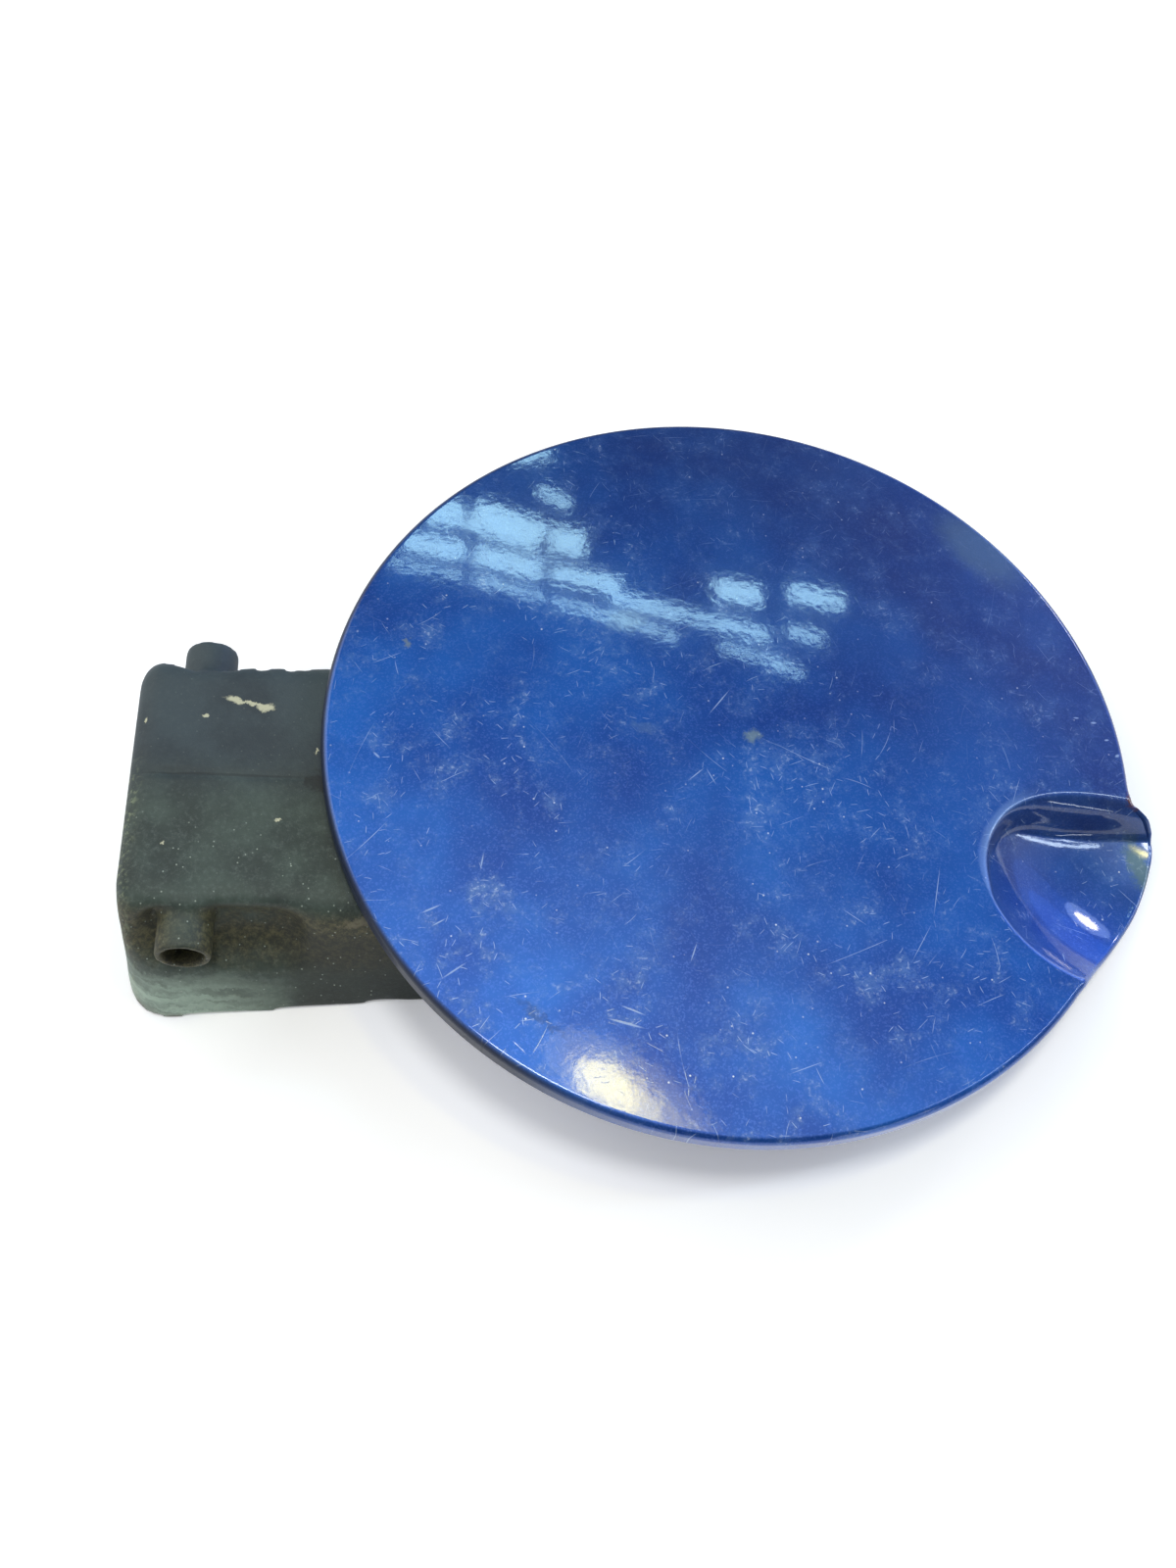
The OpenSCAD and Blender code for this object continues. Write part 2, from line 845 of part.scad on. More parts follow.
module buffer_rear() {
    resting()
        buffer_at(buffer_rear_a)
            buffer();
}

outer_panel();
inner_panel();
hinge_arm();
weld_nuts();
arm_screws();
leaf_spring();
spring_screws();
lock_striker();
striker_rivets();
cap_holder();
cap_holder_rivet();
buffer_front();
buffer_rear();
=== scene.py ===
# %% [markdown]
# # A car fuel door, taken off the car
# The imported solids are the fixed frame. This lesson dresses them: it places the camera of the
# photograph, draws the pressed skin and the moulded arm again as fine meshes, and gives every
# piece the finish of its real material.

# %% Load the frame
import math

import bpy
import numpy as np
from mathutils import Matrix, Vector
from mathutils.geometry import delaunay_2d_cdt


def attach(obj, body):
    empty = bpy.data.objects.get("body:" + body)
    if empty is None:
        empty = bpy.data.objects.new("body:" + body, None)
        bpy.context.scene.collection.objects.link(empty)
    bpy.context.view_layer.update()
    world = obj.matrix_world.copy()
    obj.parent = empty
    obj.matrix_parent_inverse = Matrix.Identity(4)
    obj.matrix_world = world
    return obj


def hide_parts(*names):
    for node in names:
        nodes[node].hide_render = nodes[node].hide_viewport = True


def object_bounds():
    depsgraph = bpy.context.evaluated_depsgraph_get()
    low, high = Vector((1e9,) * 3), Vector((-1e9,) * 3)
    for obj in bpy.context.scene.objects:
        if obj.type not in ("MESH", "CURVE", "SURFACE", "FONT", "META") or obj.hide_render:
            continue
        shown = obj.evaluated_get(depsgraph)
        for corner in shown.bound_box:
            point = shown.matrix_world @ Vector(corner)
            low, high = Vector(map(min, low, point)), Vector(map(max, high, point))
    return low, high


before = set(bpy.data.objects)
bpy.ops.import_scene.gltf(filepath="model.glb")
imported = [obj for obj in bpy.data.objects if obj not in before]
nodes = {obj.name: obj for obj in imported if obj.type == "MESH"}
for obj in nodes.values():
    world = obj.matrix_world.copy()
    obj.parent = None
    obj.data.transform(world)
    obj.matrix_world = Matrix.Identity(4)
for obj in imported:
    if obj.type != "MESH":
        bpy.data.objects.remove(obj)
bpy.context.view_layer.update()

# %% [markdown]
# ## The door's own frame
# The door rests a little tilted, on its arm and on the lip of the scoop. It is easier to draw in
# its own frame, in millimetres: X from the hinge to the scoop, Z out of the painted face, zero in
# the middle of the rim. One function lays such points down as the part rests.

# %% Lay points down as the part rests
REST_TILT = math.radians(7.16336)
HINGE = np.array([108.0, 35.0, 12.6])
LAY = np.array(Matrix.Rotation(REST_TILT, 3, "Y"))


def rest(points):
    """Points of the door's frame in millimetres, as points of the row in metres."""
    return (np.asarray(points, float) + HINGE) @ LAY.T / 1000


print("middle of the door, m:", np.round(rest([0, 0, 0]), 4))

# %% [markdown]
# ## Camera
# The round rim is an ellipse in the photograph, and only one place of the camera gives that
# ellipse: close by, a third of a metre above the table, looking down at about 61 degrees. It could
# be set by eye, but a fitted place lets every other point be compared pixel by pixel.

# %% Camera of the photograph
EYE = (0.07431, -0.12562, 0.27768)
RIGHT = Vector((0.9996, -0.0287, -0.0017))
UP = Vector((0.0261, 0.8785, 0.4770))
BACK = RIGHT.cross(UP)

camera = bpy.data.objects.new("camera", bpy.data.cameras.new("camera"))
bpy.context.scene.collection.objects.link(camera)
camera.matrix_world = Matrix.Translation(EYE) @ Matrix((RIGHT, UP, BACK)).transposed().to_4x4()
camera.data.lens = 36.0
camera.data.sensor_width = 36.0
camera.data.clip_start = 0.01
bpy.context.scene.camera = camera
print("camera, m:", [round(v, 4) for v in camera.location])

# %% [markdown]
# ## Materials as trees of nodes
# A finish is a tree of nodes: patterns go in at one end, and the shader takes what comes out. By
# hand each node takes four lines, so one small function adds any of them with its settings and
# links. Colours are written as the sRGB hex codes of a colour picker, and one function turns them
# to the linear values that light is reckoned with.


# %% Colours
def colour(code):
    """An sRGB hex colour as linear values."""
    parts = [int(code[i:i + 2], 16) / 255 for i in (1, 3, 5)]
    return tuple(p / 12.92 if p < 0.04045 else ((p + 0.055) / 1.055) ** 2.4 for p in parts) + (1.0,)


print("middle grey, linear:", round(colour("#808080")[0], 3))

# %% One function adds any node
SHORT = {
    "Blend": ("Mix", {"data_type": "RGBA"}),
    "Ease": ("MapRange", {"interpolation_type": "SMOOTHSTEP"}),
}


def add(tree, kind, *links, **settings):
    """Adds a node with its settings and links, or fills more sockets of a node that is there.

    Values fill the sockets in order, or by name with _ for each blank, and a node given as a
    value stands for its first output. A kind in capitals is an operation of the Math node.
    """
    made, usual = kind, {}
    if isinstance(kind, str):
        plain = ("Math", {"operation": kind}) if kind.isupper() else (kind, {})
        kind, usual = SHORT.get(kind, plain)
        made = tree.nodes.new("ShaderNode" + kind)
    for name, value in {**usual, **settings}.items():
        if hasattr(made, name):
            setattr(made, name, value)
    sockets = [s for s in made.inputs if s.enabled]
    named = {s.name.replace(" ", "_"): s for s in reversed(sockets)}
    pairs = list(zip(sockets, links))
    pairs += [(named[k], v) for k, v in settings.items() if not hasattr(made, k)]
    for socket, value in pairs:
        if isinstance(value, bpy.types.Node):
            value = next(o for o in value.outputs if o.enabled)
        if isinstance(value, bpy.types.NodeSocket):
            tree.links.new(value, socket)
        else:
            socket.default_value = value
    return made


print("short names for nodes:", ", ".join(SHORT))


# %% Start of every material
def start(name):
    """An empty material: its tree, its shader and the door's own coordinates in millimetres."""
    made = bpy.data.materials.new(name)
    made.use_nodes = True
    tree = made.node_tree
    own = add(tree, "Mapping", add(tree, "TexCoord").outputs["Object"],
              Location=-HINGE, Rotation=(0, -REST_TILT, 0), Scale=(1000, 1000, 1000))
    return made, tree, tree.nodes["Principled BSDF"], own


print("patterns are laid in the door's own millimetres")

# %% [markdown]
# ## Table
# The part lies on a plain white table. A real light table glows, and so does this one a little,
# because that keeps the shadows as pale as they are in the photograph.

# %% Table, with a matt top
# Matt paper scatters all light: the eye sees one even white and no mirror image.
UNDER = 0.00005  # metres between the part's lowest point and the table, so nothing flickers
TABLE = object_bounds()[0].z - UNDER
bpy.ops.mesh.primitive_plane_add(size=6, location=(0.1, 0.2, TABLE))
table = bpy.context.object
table.name = "table"

paper, tree, shader, own = start("matt white table top")
grain = add(tree, "TexNoise", own, Scale=0.02, Detail=2.0)  # clouds about 50 mm across
add(tree, shader, Base_Color=add(tree, "Blend", grain, colour("#f7f7f7"), colour("#fafafa")),
    Roughness=0.8, Emission_Color=colour("#ffffff"), Emission_Strength=0.22)
table.data.materials.append(paper)
print("table height, mm:", round(1000 * TABLE, 2))

# %% [markdown]
# ## Lights
# A large soft light from the left and behind gives the soft shadow at the right and the front. A
# small lamp overhead wakes the flakes. Glossy paint shows the room itself, so flat bright panels
# stand where the paint mirrors them: a window with bars, a low window, a few lamps. Each panel's
# place follows from the law of reflection at the spot where the photograph shows its image.


# %% Soft light and lamps
def panel(name, place, aim, size, power, tint="#ffffff", turn=0.0, shape="RECTANGLE"):
    """A flat light at a place, facing a point."""
    lamp = bpy.data.lights.new(name, "AREA")
    lamp.shape = shape
    lamp.size, lamp.size_y = size
    lamp.energy = power
    lamp.color = colour(tint)[:3]
    made = bpy.data.objects.new(name, lamp)
    made.location = place
    facing = (Vector(aim) - Vector(place)).to_track_quat("-Z", "Y")
    made.visible_camera = False
    made.rotation_euler = (facing.to_matrix() @ Matrix.Rotation(turn, 3, "Z")).to_euler()
    bpy.context.scene.collection.objects.link(made)


MIDDLE = Vector(rest([0, 0, 0]))
SCOOP = (0.18, 0.0, 0.0)
panel("soft box, left and behind", (-0.85, 0.75, 1.05), MIDDLE, (1.1, 1.1), 6)
panel("overhead lamp", (0.2, 0.03, 2.2), MIDDLE, (0.5, 0.5), 14, "#fbfdff", 0.0, "DISK")
print("the light is aimed at, m:", [round(v, 3) for v in MIDDLE])

# %% Windows at the right, and a strip lamp in front
# Each window is a bright pane with a wider patch of sky behind it, so its edge stays soft.
WINDOWS = [("small window, right", (0.86, 0.72, 0.47), MIDDLE, (0.17, 0.1), 1.0, "#fff0dc"),
           ("sky in the small window", (0.87, 0.73, 0.48), MIDDLE, (0.34, 0.22), 0.8, "#a9c6ff"),
           ("low window, right", (0.9, 0.8, 0.19), SCOOP, (0.7, 0.34), 0.9, "#3f7dff"),
           ("sky in the low window", (0.92, 0.82, 0.26), SCOOP, (1.2, 0.6), 1.9, "#3f7dff")]
for name, place, aim, size, power, tint in WINDOWS:
    panel(name, place, aim, size, power, tint, 0.0, "ELLIPSE")
panel("strip lamp, front", (0.93, -1.03, 0.3), SCOOP, (0.7, 0.05), 1.3, "#dfe8f0", 0.6)
print("windows at the right:", len(WINDOWS))

# %% Warm lamp and tube lamps
# The warm lamp is four overlapping ovals: x, y, width, depth and power.
WARM_TURN, LAMPS_UP = -0.62, 1.0
WARM = [(0.3, 0.15, 0.08, 0.04, 0.2), (0.31, 0.142, 0.12, 0.06, 0.26),
        (0.335, 0.128, 0.17, 0.055, 0.15), (0.33, 0.135, 0.24, 0.1, 0.14)]
for i, (x, y, width, depth, power) in enumerate(WARM):
    panel(f"warm lamp {i + 1}", (x, y, LAMPS_UP), (x, y, 0), (width, depth), power, "#fff08a",
          WARM_TURN, "ELLIPSE")
TUBE_AT, TUBE_SIZE = (0.931, 0.106, 0.572), (0.022, 0.85)
for i, side in enumerate((-0.025, 0.025)):
    place = (TUBE_AT[0] - side * 0.2, TUBE_AT[1] + side, TUBE_AT[2])
    panel(f"tube lamp {i + 1}", place, SCOOP, TUBE_SIZE, 1.0, "#d8ecff")
print("warm ovals:", len(WARM), " tube lamps: 2")

# %% Panes of the barred window
# x and y in metres at the height of the lamps, width, depth and turn in degrees.
PANES = [(0.101, 1.036, 0.055, 0.058, 0), (0.191, 1.016, 0.112, 0.074, -23),
         (0.281, 0.992, 0.052, 0.062, -6), (0.265, 1.095, 0.06, 0.02, -38),
         (0.087, 0.958, 0.087, 0.042, -12), (0.193, 0.934, 0.102, 0.044, -15),
         (0.303, 0.913, 0.102, 0.036, -8), (0.077, 0.908, 0.108, 0.012, -12),
         (0.191, 0.881, 0.106, 0.014, -15), (0.308, 0.848, 0.114, 0.014, -15),
         (0.387, 0.873, 0.1, 0.026, -12), (0.462, 0.862, 0.05, 0.022, -10),
         (0.535, 0.93, 0.075, 0.045, 0), (0.53, 0.852, 0.085, 0.026, -9),
         (0.366, 0.833, 0.13, 0.014, -17), (0.541, 0.803, 0.1, 0.012, -8),
         (0.665, 0.95, 0.09, 0.036, 0), (0.632, 0.863, 0.06, 0.02, -6),
         (0.590, 0.786, 0.05, 0.013, -10), (0.229, 1.202, 0.07, 0.03, 20)]
PANE_GLOW = 48.0  # watts for each square metre of pane
for i, (x, y, width, depth, turn) in enumerate(PANES):
    panel(f"window pane {i + 1}", (x, y, LAMPS_UP), (x, y, 0), (width, depth),
          PANE_GLOW * width * depth, "#b6ecff", math.radians(turn))
print("window panes:", len(PANES))

# %% [markdown]
# ## The room round the table
# Everything that is no lamp still has a brightness, and the paint mirrors that too. A world shader
# gives it by direction: pale walls, a dim corner behind and one in front, a darker band low down
# and a pale ceiling. Straight to the camera it is plain and pale, as a studio's backdrop is.

# %% World
world = bpy.data.worlds.new("studio")
world.use_nodes = True
bpy.context.scene.world = world
tree = world.node_tree
toward = add(tree, "TexCoord").outputs["Generated"]
behind, ahead, above = (add(tree, "VectorMath", toward, way, operation="DOT_PRODUCT")
                        for way in ((0.24, 0.66, 0.71), (0.45, -0.78, 0.43), (0.12, 0.0, 0.993)))
dim = add(tree, "MAXIMUM", add(tree, "Ease", behind, 0.5, 0.88), add(tree, "Ease", ahead, 0.35, 0.8))
room = add(tree, "Blend", dim, colour("#dfe1e4"), colour("#2a2b2c"))
low_down = add(tree, "SeparateXYZ", toward).outputs["Z"]
room = add(tree, "Blend", add(tree, "Ease", low_down, 0.35, 0.02, 0.0, 0.6), room, colour("#4a4c50"))
room = add(tree, "Blend", add(tree, "Ease", above, 0.84, 0.97), room, (0.6, 0.61, 0.62, 1.0))
seen = add(tree, "LightPath").outputs["Is Camera Ray"]
room = add(tree, "Blend", seen, room, colour("#eceded"))
add(tree, tree.nodes["Background"], Color=room, Strength=1.1)
bpy.context.scene.view_settings.view_transform = "Standard"

# %% [markdown]
# ## The pressed skin
# The real skin is one steel sheet, pressed over a die: a flat crown, a turned rim with a hem, and
# a bowl for the fingers that runs out over a lip. It could be modelled by cutting and joining
# solids, but then the fillets would be rough. Here its heights over the door's plane are a few
# formulas. A fine net of triangles carries them, finest in the bowl, and a swept strip adds the
# rolled edge, the turned flange and the hem.

# %% Crown and bowl
RIM, CROWN, SHEET = 84.0, 3.0, 0.9  # the rim's radius, the crown's rise, the sheet's thickness
BOWL_AT, BOWL_R, BOWL_DEEP = np.array([77.0, -26.0]), 44.2, 10.0
BOWL_Z = CROWN * (1 - (BOWL_AT @ BOWL_AT) / RIM ** 2) + BOWL_R - BOWL_DEEP


def crown(x, y):
    """Height of the crown."""
    return CROWN * (1 - (x * x + y * y) / RIM ** 2)


def bowl(x, y):
    """Height of the ball that presses the bowl."""
    flat = (x - BOWL_AT[0]) ** 2 + (y - BOWL_AT[1]) ** 2
    return BOWL_Z - np.sqrt(np.maximum(BOWL_R ** 2 - flat, 1.0))


print("middle of the ball, mm over the rim:", round(float(BOWL_Z), 2))

# %% Wall of the scoop
WALL_SLOPE = math.radians(70)
WALL_AT, WALL_ARC = np.array([72.0, -29.0]), np.array([24.3, 20.6])  # the arc's middle and radii
ROLL_LEAST, ROLL_MORE = 1.4, 3.6  # the roll is tight at the inner corner and wide near the lip
OPENING = 0.006  # how fast the arc opens towards the lip


def eased(values, low, high):
    """Smooth step from 0 at low to 1 at high."""
    t = np.clip((values - low) / (high - low), 0, 1)
    return t * t * (3 - 2 * t)


def wall(x, y):
    """The scoop's steep side: it leaves the crown in a roll along an arc, then falls straight."""
    left = np.minimum(x - WALL_AT[0], 0) / WALL_ARC[0]
    back = np.maximum(y - WALL_AT[1], 0) / WALL_ARC[1]
    across = (np.hypot(left, back) - 1) * WALL_ARC[1] + OPENING * np.maximum(x - WALL_AT[0], 0) ** 2
    roll = ROLL_LEAST + ROLL_MORE * eased(x, 54, 71)
    foot = -roll * math.sin(WALL_SLOPE)
    rolled = -roll + np.sqrt(np.maximum(roll ** 2 - across ** 2, 0.01))
    sloped = -roll * (1 - math.cos(WALL_SLOPE)) + (across - foot) * math.tan(WALL_SLOPE)
    drop = np.where(across > 0, across ** 2 / (2 * roll), np.where(across > foot, rolled, sloped))
    return crown(x, y) + drop


print("slope of the wall, degrees:", round(math.degrees(WALL_SLOPE)))


# %% Height of the whole painted face
def soft_max(a, b, k):
    """The larger of two heights, with a fillet where they cross."""
    h = np.clip(0.5 + 0.5 * (a - b) / k, 0, 1)
    return b * (1 - h) + a * h + k * h * (1 - h)


INNER_FILLET, MORE_FILLET, RIM_FILLET = 1.4, 1.8, 0.5


def height(x, y):
    """The crown, cut by the bowl and its wall, which meet in a fillet."""
    fillet = INNER_FILLET + MORE_FILLET * eased(x, 54, 68)
    return -soft_max(-crown(x, y), -soft_max(bowl(x, y), wall(x, y), fillet), RIM_FILLET)


print("deepest point of the scoop, mm:", round(float(height(77.0, -26.0)), 2))

# %% Outline of the door, seen from above
# The rim is a circle, and these points carry it round the lip, which stands out beyond it.
LIP = [(83.9, -10.6), (84.85, -12.1), (86.8, -13.3), (88.3, -14.4), (89.6, -15.7), (90.1, -17.6),
       (89.8, -20.3), (88.7, -23.6), (87.3, -27.0), (85.0, -31.3), (82.7, -34.7), (79.1, -39.0),
       (74.7, -43.7), (70.2, -48.0)]
rim_angles = np.radians(np.arange(-39.6, -365.5, -0.8))
rim = np.stack([RIM * np.cos(rim_angles), RIM * np.sin(rim_angles)], 1)
loop = np.concatenate([rim, np.array(LIP)])
print("rough outline:", len(loop), "points")


# %% Outline at even steps
def resample(points, step):
    """Closed curve through the points, at even steps: a Catmull-Rom spline."""
    p0, p1, p2, p3 = (np.roll(points, k, 0)[:, None] for k in (1, 0, -1, -2))
    t = np.linspace(0, 1, 12, endpoint=False)[None, :, None]
    fine = 0.5 * (2 * p1 + (p2 - p0) * t + (2 * p0 - 5 * p1 + 4 * p2 - p3) * t ** 2
                  + (3 * p1 - p0 - 3 * p2 + p3) * t ** 3)
    fine = fine.reshape(-1, 2)
    closed = np.vstack([fine, fine[:1]])
    along = np.concatenate([[0], np.cumsum(np.linalg.norm(np.diff(closed, axis=0), axis=1))])
    where = np.linspace(0, along[-1], int(along[-1] / step), endpoint=False)
    return np.stack([np.interp(where, along, closed[:, i]) for i in (0, 1)], 1)


def smooth_loop(values, times):
    """Each value of a closed loop, averaged with its neighbours."""
    for _ in range(times):
        values = 0.25 * np.roll(values, 1, 0) + 0.5 * values + 0.25 * np.roll(values, -1, 0)
    return values


EDGE_STEP = 0.8
edge = smooth_loop(resample(loop[::-1], EDGE_STEP), 2)
count = len(edge)
print("points round the outline:", count)

# %% Way out of the outline, and where the lip is
along_edge = np.roll(edge, -1, 0) - np.roll(edge, 1, 0)
along_edge /= np.linalg.norm(along_edge, axis=1)[:, None]
outward = np.stack([along_edge[:, 1], -along_edge[:, 0]], 1)
on_lip = (edge[:, 1] < -9.5) & (edge[:, 0] > 66.0)
lip_share = smooth_loop(on_lip.astype(float), 12)[:, None]
print("points on the lip:", int(on_lip.sum()))

# %% Measures of the turned edge
# The rim has a roll, a flange and a hem. On the lip the roll is tighter and the hem runs out.
ROLL, FLANGE, BEND, HEM = 1.5, 4.74, 0.7, 6.0
LIP_ROLL, LIP_FLANGE, LIP_BEND = 0.9, 3.0, 0.06
NUDGE = 0.05  # a small step in mm, for measuring slopes
roll_r = ROLL * (1 - lip_share) + LIP_ROLL * lip_share
flange = FLANGE * (1 - lip_share) + LIP_FLANGE * lip_share
bend = BEND * (1 - lip_share) + LIP_BEND * lip_share
hem = HEM * (1 - lip_share) ** 3
probe = edge - 0.9 * roll_r * outward
step_out, step_in = (probe + way * NUDGE * outward for way in (1, -1))
first = np.arctan((height(*step_out.T) - height(*step_in.T)) / (2 * NUDGE))[:, None]
roll_r = roll_r * (1 - 0.85 * np.clip((first - 0.3) / 0.4, 0, 1))
inner_edge = edge - roll_r * (1 + np.sin(first)) * outward
top_z = height(*inner_edge.T)[:, None]
print("steepest face at the edge, degrees:", round(math.degrees(first.max())))

# %% Rolled edge, flange and hem
QUARTER = math.pi / 2
strip, lean = [], []
for share in np.linspace(0, 1, 9):
    phi = first + (-QUARTER - first) * share
    strip.append((roll_r * (np.sin(first) - np.sin(phi)), roll_r * (np.cos(phi) - np.cos(first))))
    lean.append(phi)
out, down = strip[-1]
for share in (0.33, 0.67, 1.0):
    strip.append((out, down - share * np.maximum(flange - bend + down, 0.3)))
    lean.append(lean[8])
out, down = strip[-1]
for share in (0.33, 0.67, 1.0):
    phi = -QUARTER * (1 + share) + 0 * first
    inwards = bend * (1 + np.cos(phi + QUARTER - math.pi))
    strip.append((out - inwards, down - bend * np.sin(-QUARTER - phi)))
    lean.append(phi)
out, down = strip[-1]
for share in (0.2, 0.6, 1.0):
    strip.append((out - share * np.maximum(hem - bend, 0.12), down))
    lean.append(lean[-1])
rows = [np.hstack([inner_edge + out * outward, top_z + down]) for out, down in strip]
print("rows of the strip:", len(rows))


# %% Tools for the net
def inside(points, closed):
    """Which points lie inside a closed outline."""
    found = np.zeros(len(points), bool)
    for a, b in zip(closed, np.roll(closed, -1, 0)):
        crosses = (a[1] > points[:, 1]) != (b[1] > points[:, 1])
        rise = (b[0] - a[0]) / (b[1] - a[1] if b[1] != a[1] else 1e-9)
        found ^= crosses & (points[:, 0] < a[0] + (points[:, 1] - a[1]) * rise)
    return found


ROW_HIGH = 0.866  # height of a triangle with equal sides


def staggered(step, low, high):
    """Rows of points, every second row moved by half a step."""
    xs = np.arange(low[0], high[0], step)
    ys = np.arange(low[1], high[1], step * ROW_HIGH)
    gx, gy = np.meshgrid(xs, ys)
    gx[1::2] += step / 2
    return np.stack([gx.ravel(), gy.ravel()], 1)


def in_scoop(points):
    """How far the scoop lies under the crown at each point, less than 0 outside it."""
    x, y = points.T
    return crown(x, y) - np.maximum(bowl(x, y), wall(x, y))


print("inside the outline:", inside(np.array([[0.0, 0.0], [90.0, 60.0]]), edge))

# %% Net of triangles for the face
# Steps of 0.45 mm in the scoop, 1.3 mm round it and 3 mm on the plain crown.
NEAR, FAR, FREE = -0.9, -4.5, 0.35  # FREE keeps the net's points off the outline
fine = staggered(0.45, (40, -62), (94, 2))
fine = fine[in_scoop(fine) > NEAR]
mid = staggered(1.3, (34, -68), (94, 8))
mid = mid[(in_scoop(mid) <= NEAR) & (in_scoop(mid) > FAR)]
coarse = staggered(3.0, (-84, -84), (84, 84))
coarse = coarse[in_scoop(coarse) <= FAR]
net = np.concatenate([fine, mid, coarse])
net = net[inside(net, inner_edge - FREE * outward)]
corners = [Vector(p) for p in np.concatenate([inner_edge, net])]
ring = [list(range(count))]
flat, _, triangles, origin, _, _ = delaunay_2d_cdt(corners, [], ring, 1, 1e-6, True)
flat = np.array([tuple(p) for p in flat])
middles = np.array([flat[list(t)].mean(0) for t in triangles])
triangles = [tuple(t) for t, kept in zip(triangles, inside(middles, inner_edge)) if kept]
print("net:", len(flat), "points,", len(triangles), "triangles")

# %% Points and directions of the painted side
x, y = flat.T
slope_x = (height(x + NUDGE, y) - height(x - NUDGE, y)) / (2 * NUDGE)
slope_y = (height(x, y + NUDGE) - height(x, y - NUDGE)) / (2 * NUDGE)
all_points = [np.column_stack([flat, height(x, y)])]
all_normals = [np.column_stack([-slope_x, -slope_y, np.ones(len(flat))])]
for row, phi in zip(rows[1:], lean[1:]):
    run = np.roll(row, -1, 0) - np.roll(row, 1, 0)
    across = np.column_stack([np.cos(phi) * outward, np.sin(phi)])
    all_points.append(row)
    all_normals.append(np.cross(across, run))
points = np.concatenate(all_points)
normals = np.concatenate(all_normals)
normals /= np.linalg.norm(normals, axis=1)[:, None]
print("points of the painted side:", len(points))

# %% Faces of the painted side
ring_of = {s: i for i, sources in enumerate(origin) for s in sources if s < count}
ids = [[ring_of[i] for i in range(count)]]
for k in range(len(rows) - 1):
    begin = len(flat) + k * count
    ids.append(list(range(begin, begin + count)))
faces = list(triangles)
for a, b in zip(ids, ids[1:]):
    for i in range(count):
        j = (i + 1) % count
        faces.append((a[i], b[i], b[j], a[j]))
a, b, c = points[list(triangles[0])]
print("triangles face up:", np.cross(b - a, c - a)[2] > 0)

# %% Sheet with both faces
# The inner side is the painted side, moved in by the sheet's thickness, and a band closes the hem.
size = len(points)
inner_points = points - SHEET * normals
inner_faces = [tuple(i + size for i in reversed(f)) for f in faces]
last, after = ids[-1], ids[-1][1:] + ids[-1][:1]
closing = [(i, i + size, j + size, j) for i, j in zip(last, after)]
sheet = bpy.data.meshes.new("painted_skin")
both = rest(np.concatenate([points, inner_points])).tolist()
sheet.from_pydata(both, [], faces + inner_faces + closing)
sheet.validate()
sheet.shade_smooth()
turned = np.concatenate([normals, -normals]) @ LAY.T
sheet.normals_split_custom_set_from_vertices(turned.tolist())
print("painted skin:", len(sheet.polygons), "faces")

# %% Crease of the scoop, and the skin's place in the part
# The sharp bend round the scoop catches light, so the mesh carries a mark there for a painted
# highlight.
CREASE_AT, CREASE_WIDE = 0.15, 0.2
x, y = points[:, :2].T
under = crown(x, y) - np.maximum(bowl(x, y), wall(x, y))
bright = np.exp(-((under - CREASE_AT) / CREASE_WIDE) ** 2)
crease = bright * (1 - eased(x + np.minimum(y + 30, 0), 54, 64))
crease[len(flat):] = 0
sheet.attributes.new("crease", "FLOAT", "POINT").data.foreach_set("value", np.tile(crease, 2))
skin = bpy.data.objects.new("painted_skin", sheet)
bpy.context.scene.collection.objects.link(skin)
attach(skin, "root")
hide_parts("outer_panel")
print("points on the crease:", int((crease > 0.5).sum()))

# %% [markdown]
# ## The moulded arm
# The real arm is one piece of glass-filled nylon, and a mould leaves every edge of it soft. Bevels
# would break where the valleys meet the walls. A voxel remesh of the solid gives a fine even skin
# instead, and moving each point towards its neighbours rounds all edges at once.

# %% Even mesh of the arm
VOXEL = 0.00074  # metres: fine enough for the ribs, and the arm stays one closed shell
arm = bpy.data.objects.new("moulded_arm", nodes["hinge_arm"].data.copy())
bpy.context.scene.collection.objects.link(arm)
remesh = arm.modifiers.new("even mesh", "REMESH")
remesh.mode = "VOXEL"
remesh.voxel_size = VOXEL
bpy.context.view_layer.update()
even = bpy.data.meshes.new_from_object(arm.evaluated_get(bpy.context.evaluated_depsgraph_get()))
arm.modifiers.clear()
arm.data = even
found = np.empty(3 * len(even.vertices), np.float32)
even.vertices.foreach_get("co", found)
body = 1000 * found.reshape(-1, 3).astype(float) @ LAY - HINGE
edges = np.empty(2 * len(even.edges), np.int32)
even.edges.foreach_get("vertices", edges)
edges = edges.reshape(-1, 2)
print("even mesh of the arm:", len(body), "points")


# %% Soft edges
def soften(points, edges, weight, rounds):
    """Moves every point towards the middle of its neighbours, by its weight."""
    a, b = edges.T
    size = len(points)
    beside = np.bincount(edges.ravel(), minlength=size)[:, None]
    for _ in range(rounds):
        total = np.stack([np.bincount(a, points[b, i], size) + np.bincount(b, points[a, i], size)
                          for i in range(3)], 1)
        points = points + weight[:, None] * 0.5 * (total / beside - points)
    return points


EDGE_ROUNDS = 5
body = soften(body, edges, np.ones(len(body)), EDGE_ROUNDS)
print("arm, mm:", np.round(np.ptp(body, 0), 1))

